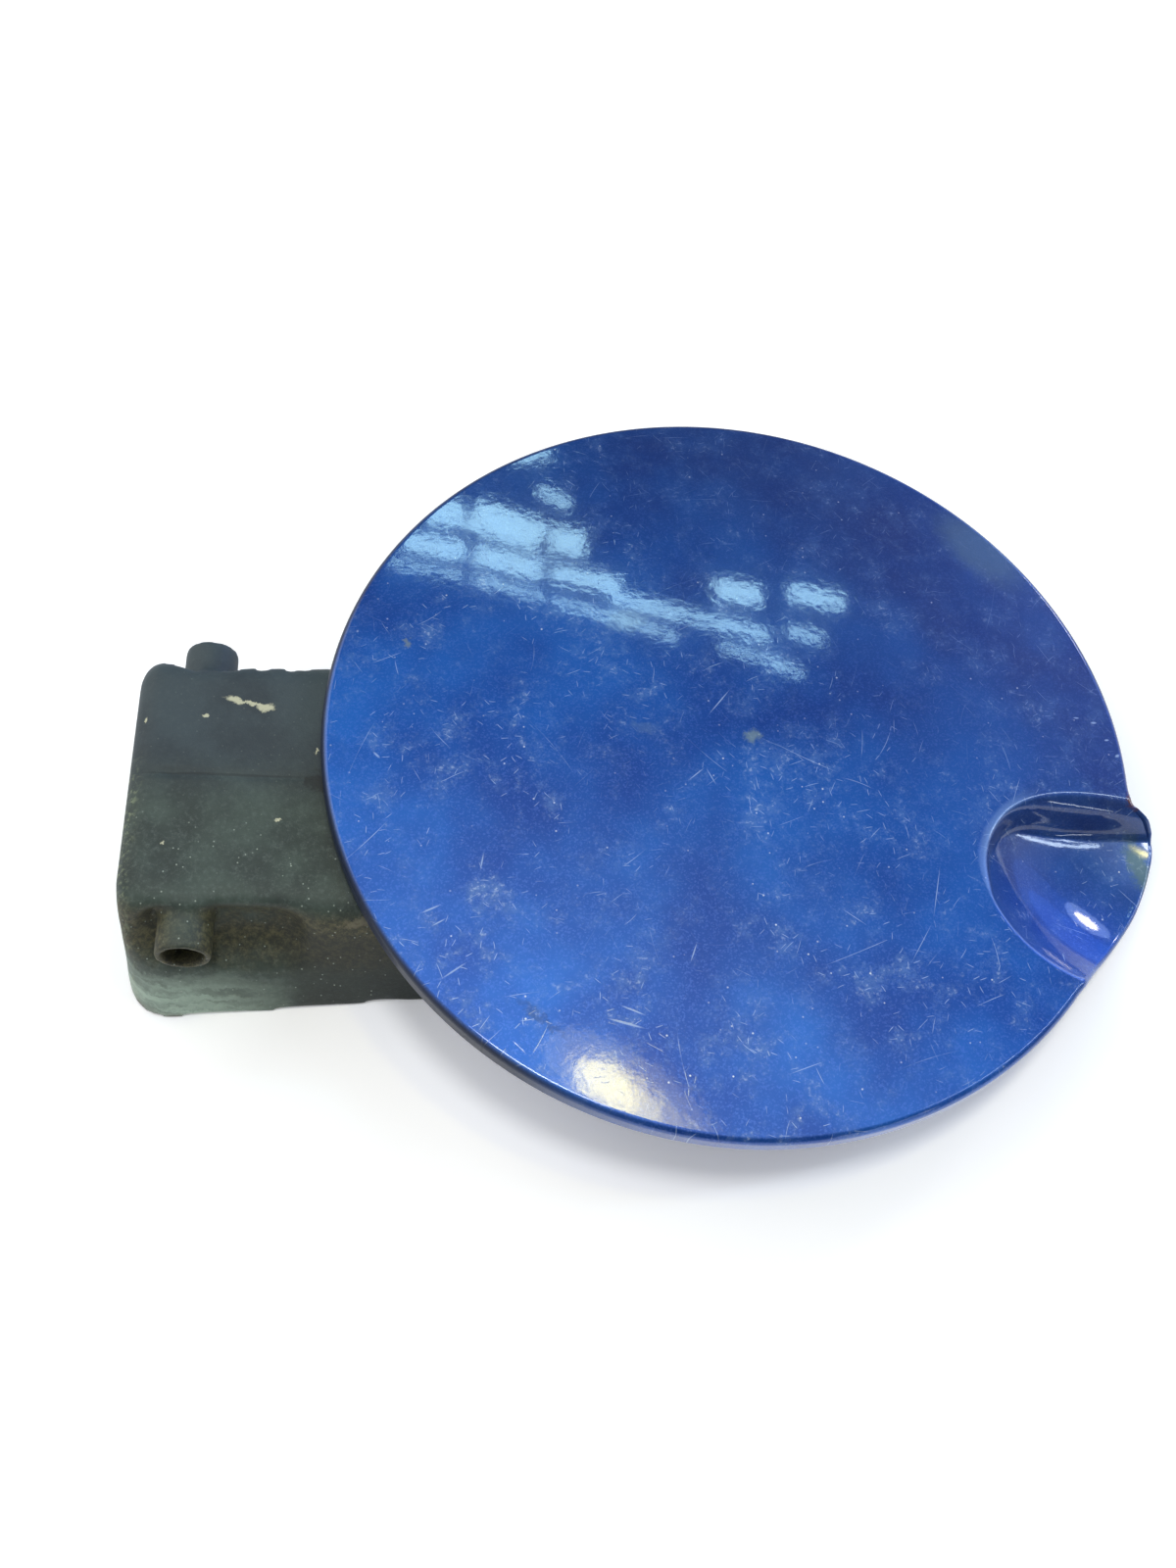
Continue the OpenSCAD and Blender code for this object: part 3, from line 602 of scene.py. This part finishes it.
# %% Wide soft valleys round the pins
# The pins stand on one line along y, in valleys of the front and the rear wall.
PIN_X, PIN_Z, VALLEY_ROUNDS = -108, -12.6, 45
x, y, z = body.T
off_pin = eased(np.hypot(x - PIN_X, z - PIN_Z), 6.4, 8.5)
sides = np.maximum(eased(y, -31, -35), eased(y, 9, 13))
upper_rear = eased(y, 0, 1) * eased(z, -13, -9.5)
valley = sides * eased(z, -34, -27) * eased(x, -64, -72) * off_pin * (1 - upper_rear)
body = soften(body, edges, valley, VALLEY_ROUNDS)
print("points in the valleys:", int((valley > 0.5).sum()))

# %% Rear wall and top plate
# The rear wall bulges a little. The top has slight sink marks, a parting line and a gate's notch.
x, y, z = body.T
rear = eased(y, 12, 17) * eased(z, -22, -10) * off_pin * eased(x, -78, -84)
body[:, 1] += rear * (1.1 + 0.8 * np.exp(-((x + 94) / 7) ** 2))
plate = eased(z, -8, -6) * eased(x, -84, -90)
sink, parting = 0.12 * np.sin(x / 5.3) * np.sin(y / 6.1), 0.28 * np.exp(-((y + 9.2) / 0.55) ** 2)
body[:, 2] += plate * (sink - parting)
body[:, 2] -= 0.5 * plate * np.exp(-((x + 112.7) / 2.2) ** 2 - ((y + 9) / 0.7) ** 2)
even.vertices.foreach_set("co", rest(body).astype(np.float32).ravel())
even.update()
even.shade_smooth()
even.materials.clear()
print("points on the top plate:", int((plate > 0.5).sum()))

# %% Place of the arm in the part
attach(arm, "root")
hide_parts("hinge_arm")
print("arm:", len(even.polygons), "faces")

# %% [markdown]
# ## Blue metallic paint
# Car paint is a coloured base with aluminium flakes under a clear coat. The flakes tilt this way
# and that, so the colour glows near the light's reflection and falls to navy away from it, and the
# coat on top mirrors the room. The base is a rough metallic layer here, and the coat is the
# shader's own coat, whose IOR of 1.5 is that of real lacquer. Years of use leave scratches, haze
# and dirt, and each is drawn as a mask between 0 and 1 that mixes in its own colour.
# Other masks of this kind paint light and shade: a navy side, flake glint, a dark rim, a pale
# crease.


# %% Marks with soft and with ragged edges
def spot(tree, where, x, y, z, size, turn=0.0, edge=0.6):
    """A soft-edged oval mark round a point, in the door's own millimetres."""
    near = add(tree, "Mapping", where, Location=(x, y, z), Rotation=(0, 0, math.radians(turn)),
               Scale=size, vector_type="TEXTURE")
    return add(tree, "Ease", add(tree, "VectorMath", near, operation="LENGTH"), 1.0, edge)


def ragged(tree, own, grain, reach):
    """The same coordinates, torn a little by noise, for marks with ragged edges."""
    noise = add(tree, "TexNoise", own, Scale=grain, Detail=4.0, Roughness=0.7)
    centred = add(tree, "VectorMath", noise.outputs["Color"], (0.5, 0.5, 0.5), operation="SUBTRACT")
    shift = add(tree, "VectorMath", centred, (reach, reach, reach), operation="MULTIPLY")
    return add(tree, "VectorMath", own, shift, operation="ADD")


print("a mark is a place, a size in mm, a turn and the softness of its edge")

# %% Coloured base and flakes
# Wide clouds of two blues keep the base from looking flat. Real flakes are 0.02 to 0.05 mm. These
# are cells of 0.3 mm, as coarse as they must be to show, and the eye sees a fine glitter.
paint, tree, shader, own = start("blue metallic lacquer, clear coated")
place_x, place_y, _ = add(tree, "SeparateXYZ", own).outputs
clouds = add(tree, "TexNoise", own, Scale=0.03, Detail=3.0, Roughness=0.55)  # 33 mm across
base = add(tree, "Blend", add(tree, "Ease", clouds, 0.3, 0.7), colour("#144499"), colour("#2166bf"))
flakes = add(tree, "TexVoronoi", own, Scale=3.2, Randomness=1.0)
flake_tint = add(tree, "SeparateColor", flakes.outputs["Color"])
# A lighter blue mixed into some cells is a painted glint of the flakes.
glint = add(tree, "Ease", flake_tint, 0.6, 1.0, 0.0, 0.25)
base = add(tree, "Blend", glint, base, colour("#5f86e0"))
print("nodes of the coloured base:", len(tree.nodes))

# %% Used side, and painted shade on the other side
# Patches about 20 mm wide are worn, most of them at the rear left. Towards the right and the rear
# the base is mixed with navy, painted shade that makes that side of the face darker.
side = add(tree, "SUBTRACT", add(tree, "MULTIPLY", place_x, -0.5),
           add(tree, "MULTIPLY", place_y, 0.9))
used = add(tree, "Ease", side, -70.0, 60.0)
patches = add(tree, "TexNoise", own, Scale=0.05, Detail=6.0, Roughness=0.65)
worn = add(tree, "MULTIPLY", add(tree, "Ease", patches, 0.42, 0.62),
           add(tree, "ADD", 0.25, add(tree, "MULTIPLY", used, 0.75)))
# Painted shade: navy mixed into the base.
navy = add(tree, "Blend", 0.62, base, colour("#101c44"))
base = add(tree, "Blend", add(tree, "Ease", side, -90.0, 90.0), navy, base)
print("nodes with the used side:", len(tree.nodes))

# %% Fine scratches all over
FULL_TURN = 6.283


def scratches(tree, own, cell, reach, width, share, seed):
    """Short strokes, one in some of the cells, each with its own direction and bow."""
    moved = add(tree, "VectorMath", own, (seed, seed * 0.7, 0), operation="ADD")
    small = add(tree, "VectorMath", moved, (1 / cell, 1 / cell, 0), operation="MULTIPLY")
    cells = add(tree, "TexVoronoi", small, voronoi_dimensions="2D", Scale=1.0, Randomness=1.0)
    turn, chance, curve = add(tree, "SeparateColor", cells.outputs["Color"]).outputs
    away = add(tree, "VectorMath", small, cells.outputs["Position"], operation="SUBTRACT")
    turned = add(tree, "VectorRotate", away, Angle=add(tree, "MULTIPLY", turn, FULL_TURN),
                 rotation_type="Z_AXIS")
    along, across, _ = add(tree, "SeparateXYZ", turned).outputs
    bow = add(tree, "MULTIPLY", add(tree, "MULTIPLY", along, along),
              add(tree, "MULTIPLY_ADD", curve, 0.5, -0.25))
    off = add(tree, "ABSOLUTE", add(tree, "ADD", across, bow))
    line = add(tree, "Ease", off, width / cell, 0.3 * width / cell)
    ends = add(tree, "Ease", add(tree, "ABSOLUTE", along), reach, 0.4 * reach)
    return add(tree, "MULTIPLY", add(tree, "MULTIPLY", line, ends),
               add(tree, "LESS_THAN", chance, share))


# A family: cell in mm, reach as a share of it, width in mm, share of cells, and a shift. Real
# wash scratches are 0.01 mm wide. These are 0.1 mm, the finest that shows.
FAMILIES = [(5.0, 0.4, 0.08, 0.22, 3.1), (9.0, 0.42, 0.09, 0.22, 17.0),
            (21.0, 0.4, 0.1, 0.16, 41.0), (2.6, 0.36, 0.09, 0.4, 71.0)]
lines = scratches(tree, own, *FAMILIES[0])
for family in FAMILIES[1:]:
    lines = add(tree, "MAXIMUM", lines, scratches(tree, own, *family))
lines = add(tree, "MULTIPLY", lines, add(tree, "ADD", 0.08, worn))
print("families of fine scratches:", len(FAMILIES))

# %% Single deep strokes
# Where the photograph shows them: x, y, half length and half width in mm, and turn in degrees.
STROKES = [(-3.4, 7.2, 4.6, 0.16, 52), (-9.3, -10, 2.6, 0.16, 41), (-6.3, -10.5, 2.4, 0.14, -64),
           (-25.4, -62, 4.2, 0.3, -15), (-24, -59.5, 3.0, 0.22, -22), (-72.8, -7, 1.2, 0.3, -46),
           (-61.5, -39.8, 2.4, 0.25, 25), (-60, -42.5, 1.8, 0.2, 30), (-57, -52, 3.2, 0.22, 35),
           (37.5, -34, 6.5, 0.12, 76), (33, -45, 5.5, 0.1, 58), (-52, -30, 2.2, 0.18, 80),
           (20, -40, 3.4, 0.1, -35), (8, -70, 4.0, 0.12, 20), (-12, -48, 2.4, 0.16, 70),
           (63.6, -45.3, 1.5, 0.22, 78), (78.4, 7.3, 0.9, 0.35, 5), (80.6, 3.2, 0.7, 0.3, 10),
           (82.3, -0.5, 0.8, 0.4, 30), (74.6, 8.2, 0.8, 0.25, 0)]
for x, y, long, wide, turn in STROKES:
    stroke = spot(tree, own, x, y, 1.0, (long, wide, 30), turn, 0.3)
    lines = add(tree, "MAXIMUM", lines, add(tree, "MULTIPLY", 0.85, stroke))
print("single strokes:", len(STROKES))

# %% Haze and scuffs
# Fine rubbing leaves a milky haze: noise of about 6 mm, denser in some ovals (x, y and half
# sizes). In the haze lie scuffs, speckles of about 1 mm that look almost white.
HAZE = [(-30, -27, 9, 7), (-50, -38, 9, 6), (-14, -8, 6, 10), (-38, 14, 8, 6), (24, -50, 10, 6),
        (0, -58, 12, 6), (-62, 22, 5, 7), (36, 30, 12, 8)]
thick = add(tree, "TexNoise", own, Scale=0.16, Detail=9.0, Roughness=0.78)
for x, y, wide, high in HAZE:
    oval = spot(tree, own, x, y, 2, (wide, high, 30), 20, 0.0)
    thick = add(tree, "ADD", thick, add(tree, "MULTIPLY", 0.07, oval))
haze = add(tree, "MULTIPLY", add(tree, "Ease", thick, 0.47, 0.78), add(tree, "ADD", 0.3, worn))
fine = add(tree, "TexNoise", own, Scale=1.1, Detail=3.0, Roughness=0.6)
scuffs = add(tree, "MULTIPLY", add(tree, "Ease", fine, 0.53, 0.68), haze)
print("ovals of haze:", len(HAZE))

# %% Film, haze, scuffs and scratches over the base
# A thin grey film of dust lies towards the far right. Each layer: mask, strength and colour.
far_right = add(tree, "ADD", add(tree, "MULTIPLY", place_x, 0.8),
                add(tree, "MULTIPLY", place_y, 0.6))
film = add(tree, "MULTIPLY", add(tree, "Ease", far_right, 5.0, 80.0),
           add(tree, "Ease", patches, 0.3, 0.65, 0.5, 1.0))
for mask, strength, tint in ((film, 0.07, "#8d8a84"), (haze, 0.6, "#6f93c6"),
                             (scuffs, 0.85, "#b9c8de"), (lines, 0.85, "#a9bfe0")):
    base = add(tree, "Blend", add(tree, "MULTIPLY", mask, strength), base, colour(tint))
print("nodes with the wear:", len(tree.nodes))

# %% Pale specks and the painted highlight on the crease
# Specks sit in one of five cells of 2 mm. The sheet's own mark tells where the crease runs, and
# there a pale blue is mixed in as a painted highlight.
specks = add(tree, "TexVoronoi", own, Scale=0.5, Randomness=1.0)
chance = add(tree, "SeparateColor", specks.outputs["Color"])
dots = add(tree, "MULTIPLY", add(tree, "Ease", specks.outputs["Distance"], 0.13, 0.05),
           add(tree, "LESS_THAN", chance, 0.2))
dots = add(tree, "MULTIPLY", dots, add(tree, "ADD", 0.3, worn))
base = add(tree, "Blend", dots, base, colour("#c9d2de"))
# A pale blue along the crease, a painted highlight.
crease_highlight = add(tree, "Attribute", attribute_name="crease").outputs["Fac"]
base = add(tree, "Blend", add(tree, "MULTIPLY", crease_highlight, 0.36), base, colour("#a8c8ee"))
print("nodes with the specks:", len(tree.nodes))

# %% Stains, and painted shade on the rim
# Stains where the photograph shows them: x, y, z, half sizes, turn, colour and strength. A
# near-black painted shade sits on the rolled rim and its flange, all round but at the front right.
DIRT = [(86.5, -22.5, -7.6, (3.2, 9.5, 6), 12, "#55704f", 0.55),
        (84.3, -11.2, -0.8, (2.6, 1.6, 5), -30, "#6b3d16", 0.8),
        (-19.6, 0.5, 2.8, (3.6, 1.6, 9), 0, "#7f95a0", 0.15),
        (2.6, -0.8, 3, (2.4, 2.2, 9), 20, "#8a9c8c", 0.5),
        (-67.6, 19.4, 1, (1.5, 1.3, 9), 0, "#8c937c", 0.5),
        (-41.2, -60.8, 1, (7.6, 0.9, 9), -38, "#141c2c", 0.3),
        (-22, 27, 2, (6, 4, 9), 10, "#7c96ac", 0.4),
        (60, 52, 0.5, (16, 9, 9), -50, "#5c7484", 0.45)]
torn = ragged(tree, own, 0.5, 5.0)
for x, y, z, size, turn, tint, share in DIRT:
    stain = add(tree, "MULTIPLY", share, spot(tree, torn, x, y, z, size, turn, 0.35))
    base = add(tree, "Blend", stain, base, colour(tint))
flat_place = add(tree, "VectorMath", own, (1.0, 1.0, 0.0), operation="MULTIPLY")
rim_far = add(tree, "VectorMath", flat_place, operation="LENGTH")
# Painted shade on the rim: near-black everywhere but at the front right.
rim_lit_side = add(tree, "SUBTRACT", add(tree, "MULTIPLY", place_x, 0.6),
            add(tree, "MULTIPLY", place_y, 0.8))
painted_rim_shade = add(tree, "MULTIPLY", add(tree, "Ease", rim_far, 82.7, 83.7),
            add(tree, "Ease", rim_lit_side, 60.0, 25.0))
base = add(tree, "Blend", add(tree, "MULTIPLY", painted_rim_shade, 0.92), base, colour("#080e1a"))
print("stains:", len(DIRT))

# %% Metallic base layer
# Flaked paint is rough metal to the light, 0.48 here, and rougher in haze and scratches. Each
# flake tilts the surface a little. The painted shade on the rim is no metal.
rubbed = add(tree, "MULTIPLY", add(tree, "MAXIMUM", lines, haze), 0.2)
flake_dip = add(tree, "Bump", Distance=0.00003, Height=flake_tint.outputs["Green"])
add(tree, shader, Base_Color=base, Metallic=add(tree, "MULTIPLY_ADD", painted_rim_shade, -0.65, 0.75),
    Roughness=add(tree, "ADD", 0.48, rubbed), Normal=flake_dip)
print("nodes with the base layer:", len(tree.nodes))

# %% Clear coat
# The coat gives the sharp mirror image. Orange peel, a 0.01 mm ripple every 2 mm, makes it waver
# as sprayed lacquer does, and scratches cut it by 0.004 mm. Fingers have dulled it in the bowl.
PEEL_DEEP, SCRATCH_DEEP = 0.00001, 0.000004
peel = add(tree, "TexNoise", own, Scale=0.5, Detail=2.0)
peel_dip = add(tree, "Bump", Distance=PEEL_DEEP, Height=peel)
scratch_dip = add(tree, "Bump", Distance=SCRATCH_DEEP, Height=lines, Normal=peel_dip, invert=True)
dull = spot(tree, own, 58.0, -40.0, -3.0, (9, 17, 30), 35, 0.3)
# Where the rim is painted dark as shade, the coat is almost gone.
whole = add(tree, "SUBTRACT", add(tree, "MULTIPLY_ADD", painted_rim_shade, -0.85, 1.0),
            add(tree, "MULTIPLY", dull, 0.6))
add(tree, shader, Coat_Weight=whole, Coat_Roughness=0.058, Coat_Normal=scratch_dip)
skin.data.materials.append(paint)
print("paint nodes:", len(tree.nodes))

# %% [markdown]
# ## Weathered arm plastic
# Glass-filled nylon comes out of the mould dark and slightly glossy. Years behind the flap leave
# it matt, with green-grey dust, brown mud in the valley and pale specks. A picture could be
# painted on, but masks from noise and from the place on the arm follow its shape from all sides.
# Some masks paint light and shade too: the skirt's highlight and shade, and a shadow by the door.

# %% Clean and green plastic
# Two greys in clouds of 14 mm: bluish on the rear half and greenish on the front half.
plastic, tree, shader, own = start("glass-filled nylon, moulded and weathered")
place_x, _, place_z = add(tree, "SeparateXYZ", own).outputs
torn = ragged(tree, own, 0.35, 6.0)
torn_x, torn_y, torn_z = add(tree, "SeparateXYZ", torn).outputs
cloud = add(tree, "TexNoise", own, Scale=0.07, Detail=6.0, Roughness=0.6)
light = add(tree, "Ease", cloud, 0.35, 0.65)
clean = add(tree, "Blend", light, colour("#283339"), colour("#364348"))
green = add(tree, "Blend", light, colour("#28332e"), colour("#3e4c44"))
base = add(tree, "Blend", add(tree, "Ease", torn_y, -2.0, -18.0), clean, green)
print("nodes of the plastic's base:", len(tree.nodes))

# %% Dust, and mud on the ledge
# Dust grains of about 1 mm, drawn coarser than real dust so that they show. Mud dries on the
# ledge under the front wall, brown and crusty.
dust = add(tree, "TexNoise", own, Scale=0.9, Detail=8.0, Roughness=0.8)
dusty = add(tree, "ADD", 0.3, add(tree, "Ease", torn_y, -5.0, -24.0))
grains = add(tree, "MULTIPLY", dusty, add(tree, "Ease", dust, 0.46, 0.74, 0.0, 0.36))
base = add(tree, "Blend", grains, base, colour("#6d7973"))
on_ledge = add(tree, "MULTIPLY", add(tree, "Ease", torn_y, -33.5, -37.0),
               add(tree, "Ease", torn_z, -25.0, -17.0))
on_ledge = add(tree, "MULTIPLY", on_ledge, add(tree, "Ease", place_z, -6.0, -9.5))
mud = add(tree, "Blend", add(tree, "Ease", dust, 0.4, 0.65), colour("#2b2819"), colour("#66603c"))
base = add(tree, "Blend", add(tree, "MULTIPLY", on_ledge, 0.8), base, mud)
print("nodes with the mud:", len(tree.nodes))

# %% Pale skirt: deposit, painted highlight and painted shade
# The lower wall is pale green in layers: partly dried deposit, level lines left by standing water,
# and partly a painted highlight where the skirt faces up.
skirt_deposit_and_highlight = add(tree, "MULTIPLY", add(tree, "Ease", torn_z, -20.0, -28.0),
               add(tree, "Ease", torn_x, -82.0, -112.0))
lay = add(tree, "Mapping", torn, Scale=(0.12, 0.12, 0.7))
layers = add(tree, "TexNoise", lay, Scale=0.8, Detail=2.0, Roughness=0.5)
skirt_deposit_and_highlight = add(tree, "MULTIPLY", skirt_deposit_and_highlight, add(tree, "Ease", layers, 0.3, 0.6, 0.45, 1.0))
skirt_deposit_and_highlight = add(tree, "MULTIPLY", skirt_deposit_and_highlight, add(tree, "Ease", torn_z, -21.0, -36.0, 0.3, 1.0))
base = add(tree, "Blend", add(tree, "MULTIPLY", skirt_deposit_and_highlight, 0.75), base, colour("#bdd6c2"))
# Towards the right the lower wall is painted darker: painted shade.
painted_shade_right = add(tree, "MULTIPLY", add(tree, "Ease", torn_x, -92.0, -84.0),
               add(tree, "Ease", place_z, -10.0, -15.0))
base = add(tree, "Blend", add(tree, "MULTIPLY", painted_shade_right, 0.6), base, colour("#1a201c"))
print("nodes with the skirt:", len(tree.nodes))

# %% Algae streaks and dirty lower edge
# Water runs down the end wall, so the streaks are 1 mm wide and many times longer.
flow = add(tree, "Mapping", own, Scale=(1.2, 1.2, 0.16))
streak = add(tree, "TexNoise", flow, Scale=0.8, Detail=6.0, Roughness=0.75)
algae = add(tree, "MULTIPLY", add(tree, "Ease", streak, 0.5, 0.62),
            add(tree, "Ease", place_x, -117.5, -120.5))
algae = add(tree, "MULTIPLY", algae, add(tree, "Ease", torn_y, -2.0, -14.0))
base = add(tree, "Blend", add(tree, "MULTIPLY", algae, 0.75), base, colour("#848f70"))
low_edge = add(tree, "MULTIPLY", add(tree, "Ease", torn_z, -34.5, -37.5), 0.7)
base = add(tree, "Blend", low_edge, base, colour("#453222"))
print("nodes with the streaks:", len(tree.nodes))

# %% Single marks on the plastic
# A painted shadow with dirt in it under the door's edge, mud in the valley, the parting line, then
# pale flakes of old paint: x, y, z, half sizes and turn.
PALE = [(-98.8, 7.4, -5.2, (6.2, 0.5, 3), -13), (-101.4, 8.0, -5.2, (2.4, 1.0, 3), -20),
        (-95.5, 6.4, -5.2, (2.2, 1.1, 3), 0), (-84.9, -3.4, -5.2, (0.35, 1.0, 3), -10),
        (-119.0, 2.8, -5.4, (0.3, 0.8, 3), 0), (-107.2, 4.1, -5.2, (0.7, 0.4, 3), 40),
        (-91.4, -19.1, -5.2, (0.6, 0.4, 3), 0), (-113, -24.5, -5.2, (0.5, 0.3, 3), 20)]
for where, share, at, size, turn, tint in (
        # near-black: a painted shadow, with dirt, under the door's edge
        (torn, 0.7, (-84.3, -10.3, -5), (2.2, 3.0, 4), 0, "#0e1110"),
        (torn, 0.55, (-76.5, -39.8, -7), (8, 1.6, 3), 15, "#7f7860"),
        (own, 0.45, (-103, -9.2, -5.2), (19, 0.35, 2), 0, "#0f1312")):
    mark = add(tree, "MULTIPLY", share, spot(tree, where, *at, size, turn))
    base = add(tree, "Blend", mark, base, colour(tint))
shred = ragged(tree, own, 0.9, 2.6)
pale = 0.0
for x, y, z, size, turn in PALE:
    pale = add(tree, "MAXIMUM", pale, spot(tree, shred, x, y, z, size, turn, 0.5))
print("pale marks:", len(PALE))

# %% Specks on the plastic
# Grit in two of five cells of 1.25 mm, most of it at the front.
specks = add(tree, "TexVoronoi", own, Scale=0.8, Randomness=1.0)
chance = add(tree, "SeparateColor", specks.outputs["Color"])
dots = add(tree, "MULTIPLY", add(tree, "Ease", specks.outputs["Distance"], 0.17, 0.07),
           add(tree, "LESS_THAN", chance, 0.4))
dots = add(tree, "MULTIPLY", dots, add(tree, "Ease", torn_y, -14.0, -26.0, 0.1, 0.75))
base = add(tree, "Blend", dots, base, colour("#aab5a8"))
base = add(tree, "Blend", add(tree, "MULTIPLY", pale, 0.85), base, colour("#cdcbab"))
print("nodes with the specks:", len(tree.nodes))

# %% Surface of the plastic
# Matt at 0.6, and a little glossier on the pale skirt, where it is damp. The grain of the mould is
# 0.5 mm wide and 0.08 mm deep, coarser than the real one, so that it shows.
GRAIN_DEEP = 0.00008
fine_grain = add(tree, "TexNoise", own, Scale=2.0, Detail=5.0, Roughness=0.65)
damp = add(tree, "MULTIPLY", skirt_deposit_and_highlight, 0.22)
add(tree, shader, Base_Color=base, Roughness=add(tree, "SUBTRACT", 0.6, damp),
    Normal=add(tree, "Bump", Distance=GRAIN_DEEP, Height=fine_grain))
arm.data.materials.append(plastic)
print("plastic nodes:", len(tree.nodes))

# %% [markdown]
# ## Finishes of the hidden underside
# The other pieces keep their solids, because the photograph shows none of them. Each gets the
# finish such a piece has. Two close tones in soft clouds give what the eye expects: thin dull
# paint inside, a grey sparkle on zinc plate, dark blued spring steel, plain mouldings, matt rubber.


# %% Finish of the small pieces
def finish(name, dark, light, roughness, metallic, scale, deep):
    """A material of two tones in clouds of 1 / scale mm, with a grain eight times finer."""
    made, tree, shader, own = start(name)
    spots = add(tree, "TexNoise", own, Scale=scale, Detail=6.0, Roughness=0.65)
    grain = add(tree, "TexNoise", own, Scale=scale * 8, Detail=3.0)
    tones = add(tree, "Blend", add(tree, "Ease", spots, 0.35, 0.65), colour(dark), colour(light))
    sheen = add(tree, "Ease", spots, 0.3, 0.7, roughness - 0.06, roughness + 0.06)
    add(tree, shader, Base_Color=tones, Roughness=sheen, Metallic=metallic,
        Normal=add(tree, "Bump", Distance=deep, Height=grain))
    return made


# Two tones, roughness, metallic, scale of the clouds, and depth of the grain in metres.
FINISHES = {
    "inner_panel": ("thin blue lacquer, overspray", "#122a66", "#1c3d8c", 0.5, 0.3, 0.08, 0.00002),
    "weld_nuts": ("mild steel, zinc plated", "#8d8f8c", "#b5b6b0", 0.34, 1.0, 0.4, 0.00003),
    "leaf_spring": ("spring steel, blued and oiled", "#2b2d33", "#4a4c52", 0.32, 1.0, 0.2, 0.00002),
    "lock_striker": ("acetal, moulded black", "#141516", "#1d1f20", 0.45, 0.0, 0.5, 0.00004),
    "striker_rivets": ("aluminium rivet, bare", "#a8aaac", "#c9cacb", 0.36, 1.0, 0.6, 0.00003),
    "cap_holder": ("nylon, natural", "#c9c4b2", "#d8d4c6", 0.42, 0.0, 0.3, 0.00002),
    "buffer_front": ("rubber, moulded", "#101112", "#1a1b1b", 0.72, 0.0, 0.6, 0.00006),
}
finishes = {node: finish(*values) for node, values in FINISHES.items()}
print("finishes:", len(finishes))

# %% Each hidden piece gets its finish
SAME = {"arm_screws": "weld_nuts", "spring_screws": "weld_nuts",
        "cap_holder_rivet": "striker_rivets", "buffer_rear": "buffer_front"}
REPLACED = {"outer_panel": paint, "hinge_arm": plastic}
for node, stands in nodes.items():
    made = REPLACED[node] if node in REPLACED else finishes[SAME.get(node, node)]
    stands.data.materials.clear()
    stands.data.materials.append(made)
print("pieces with a finish:", len(nodes))
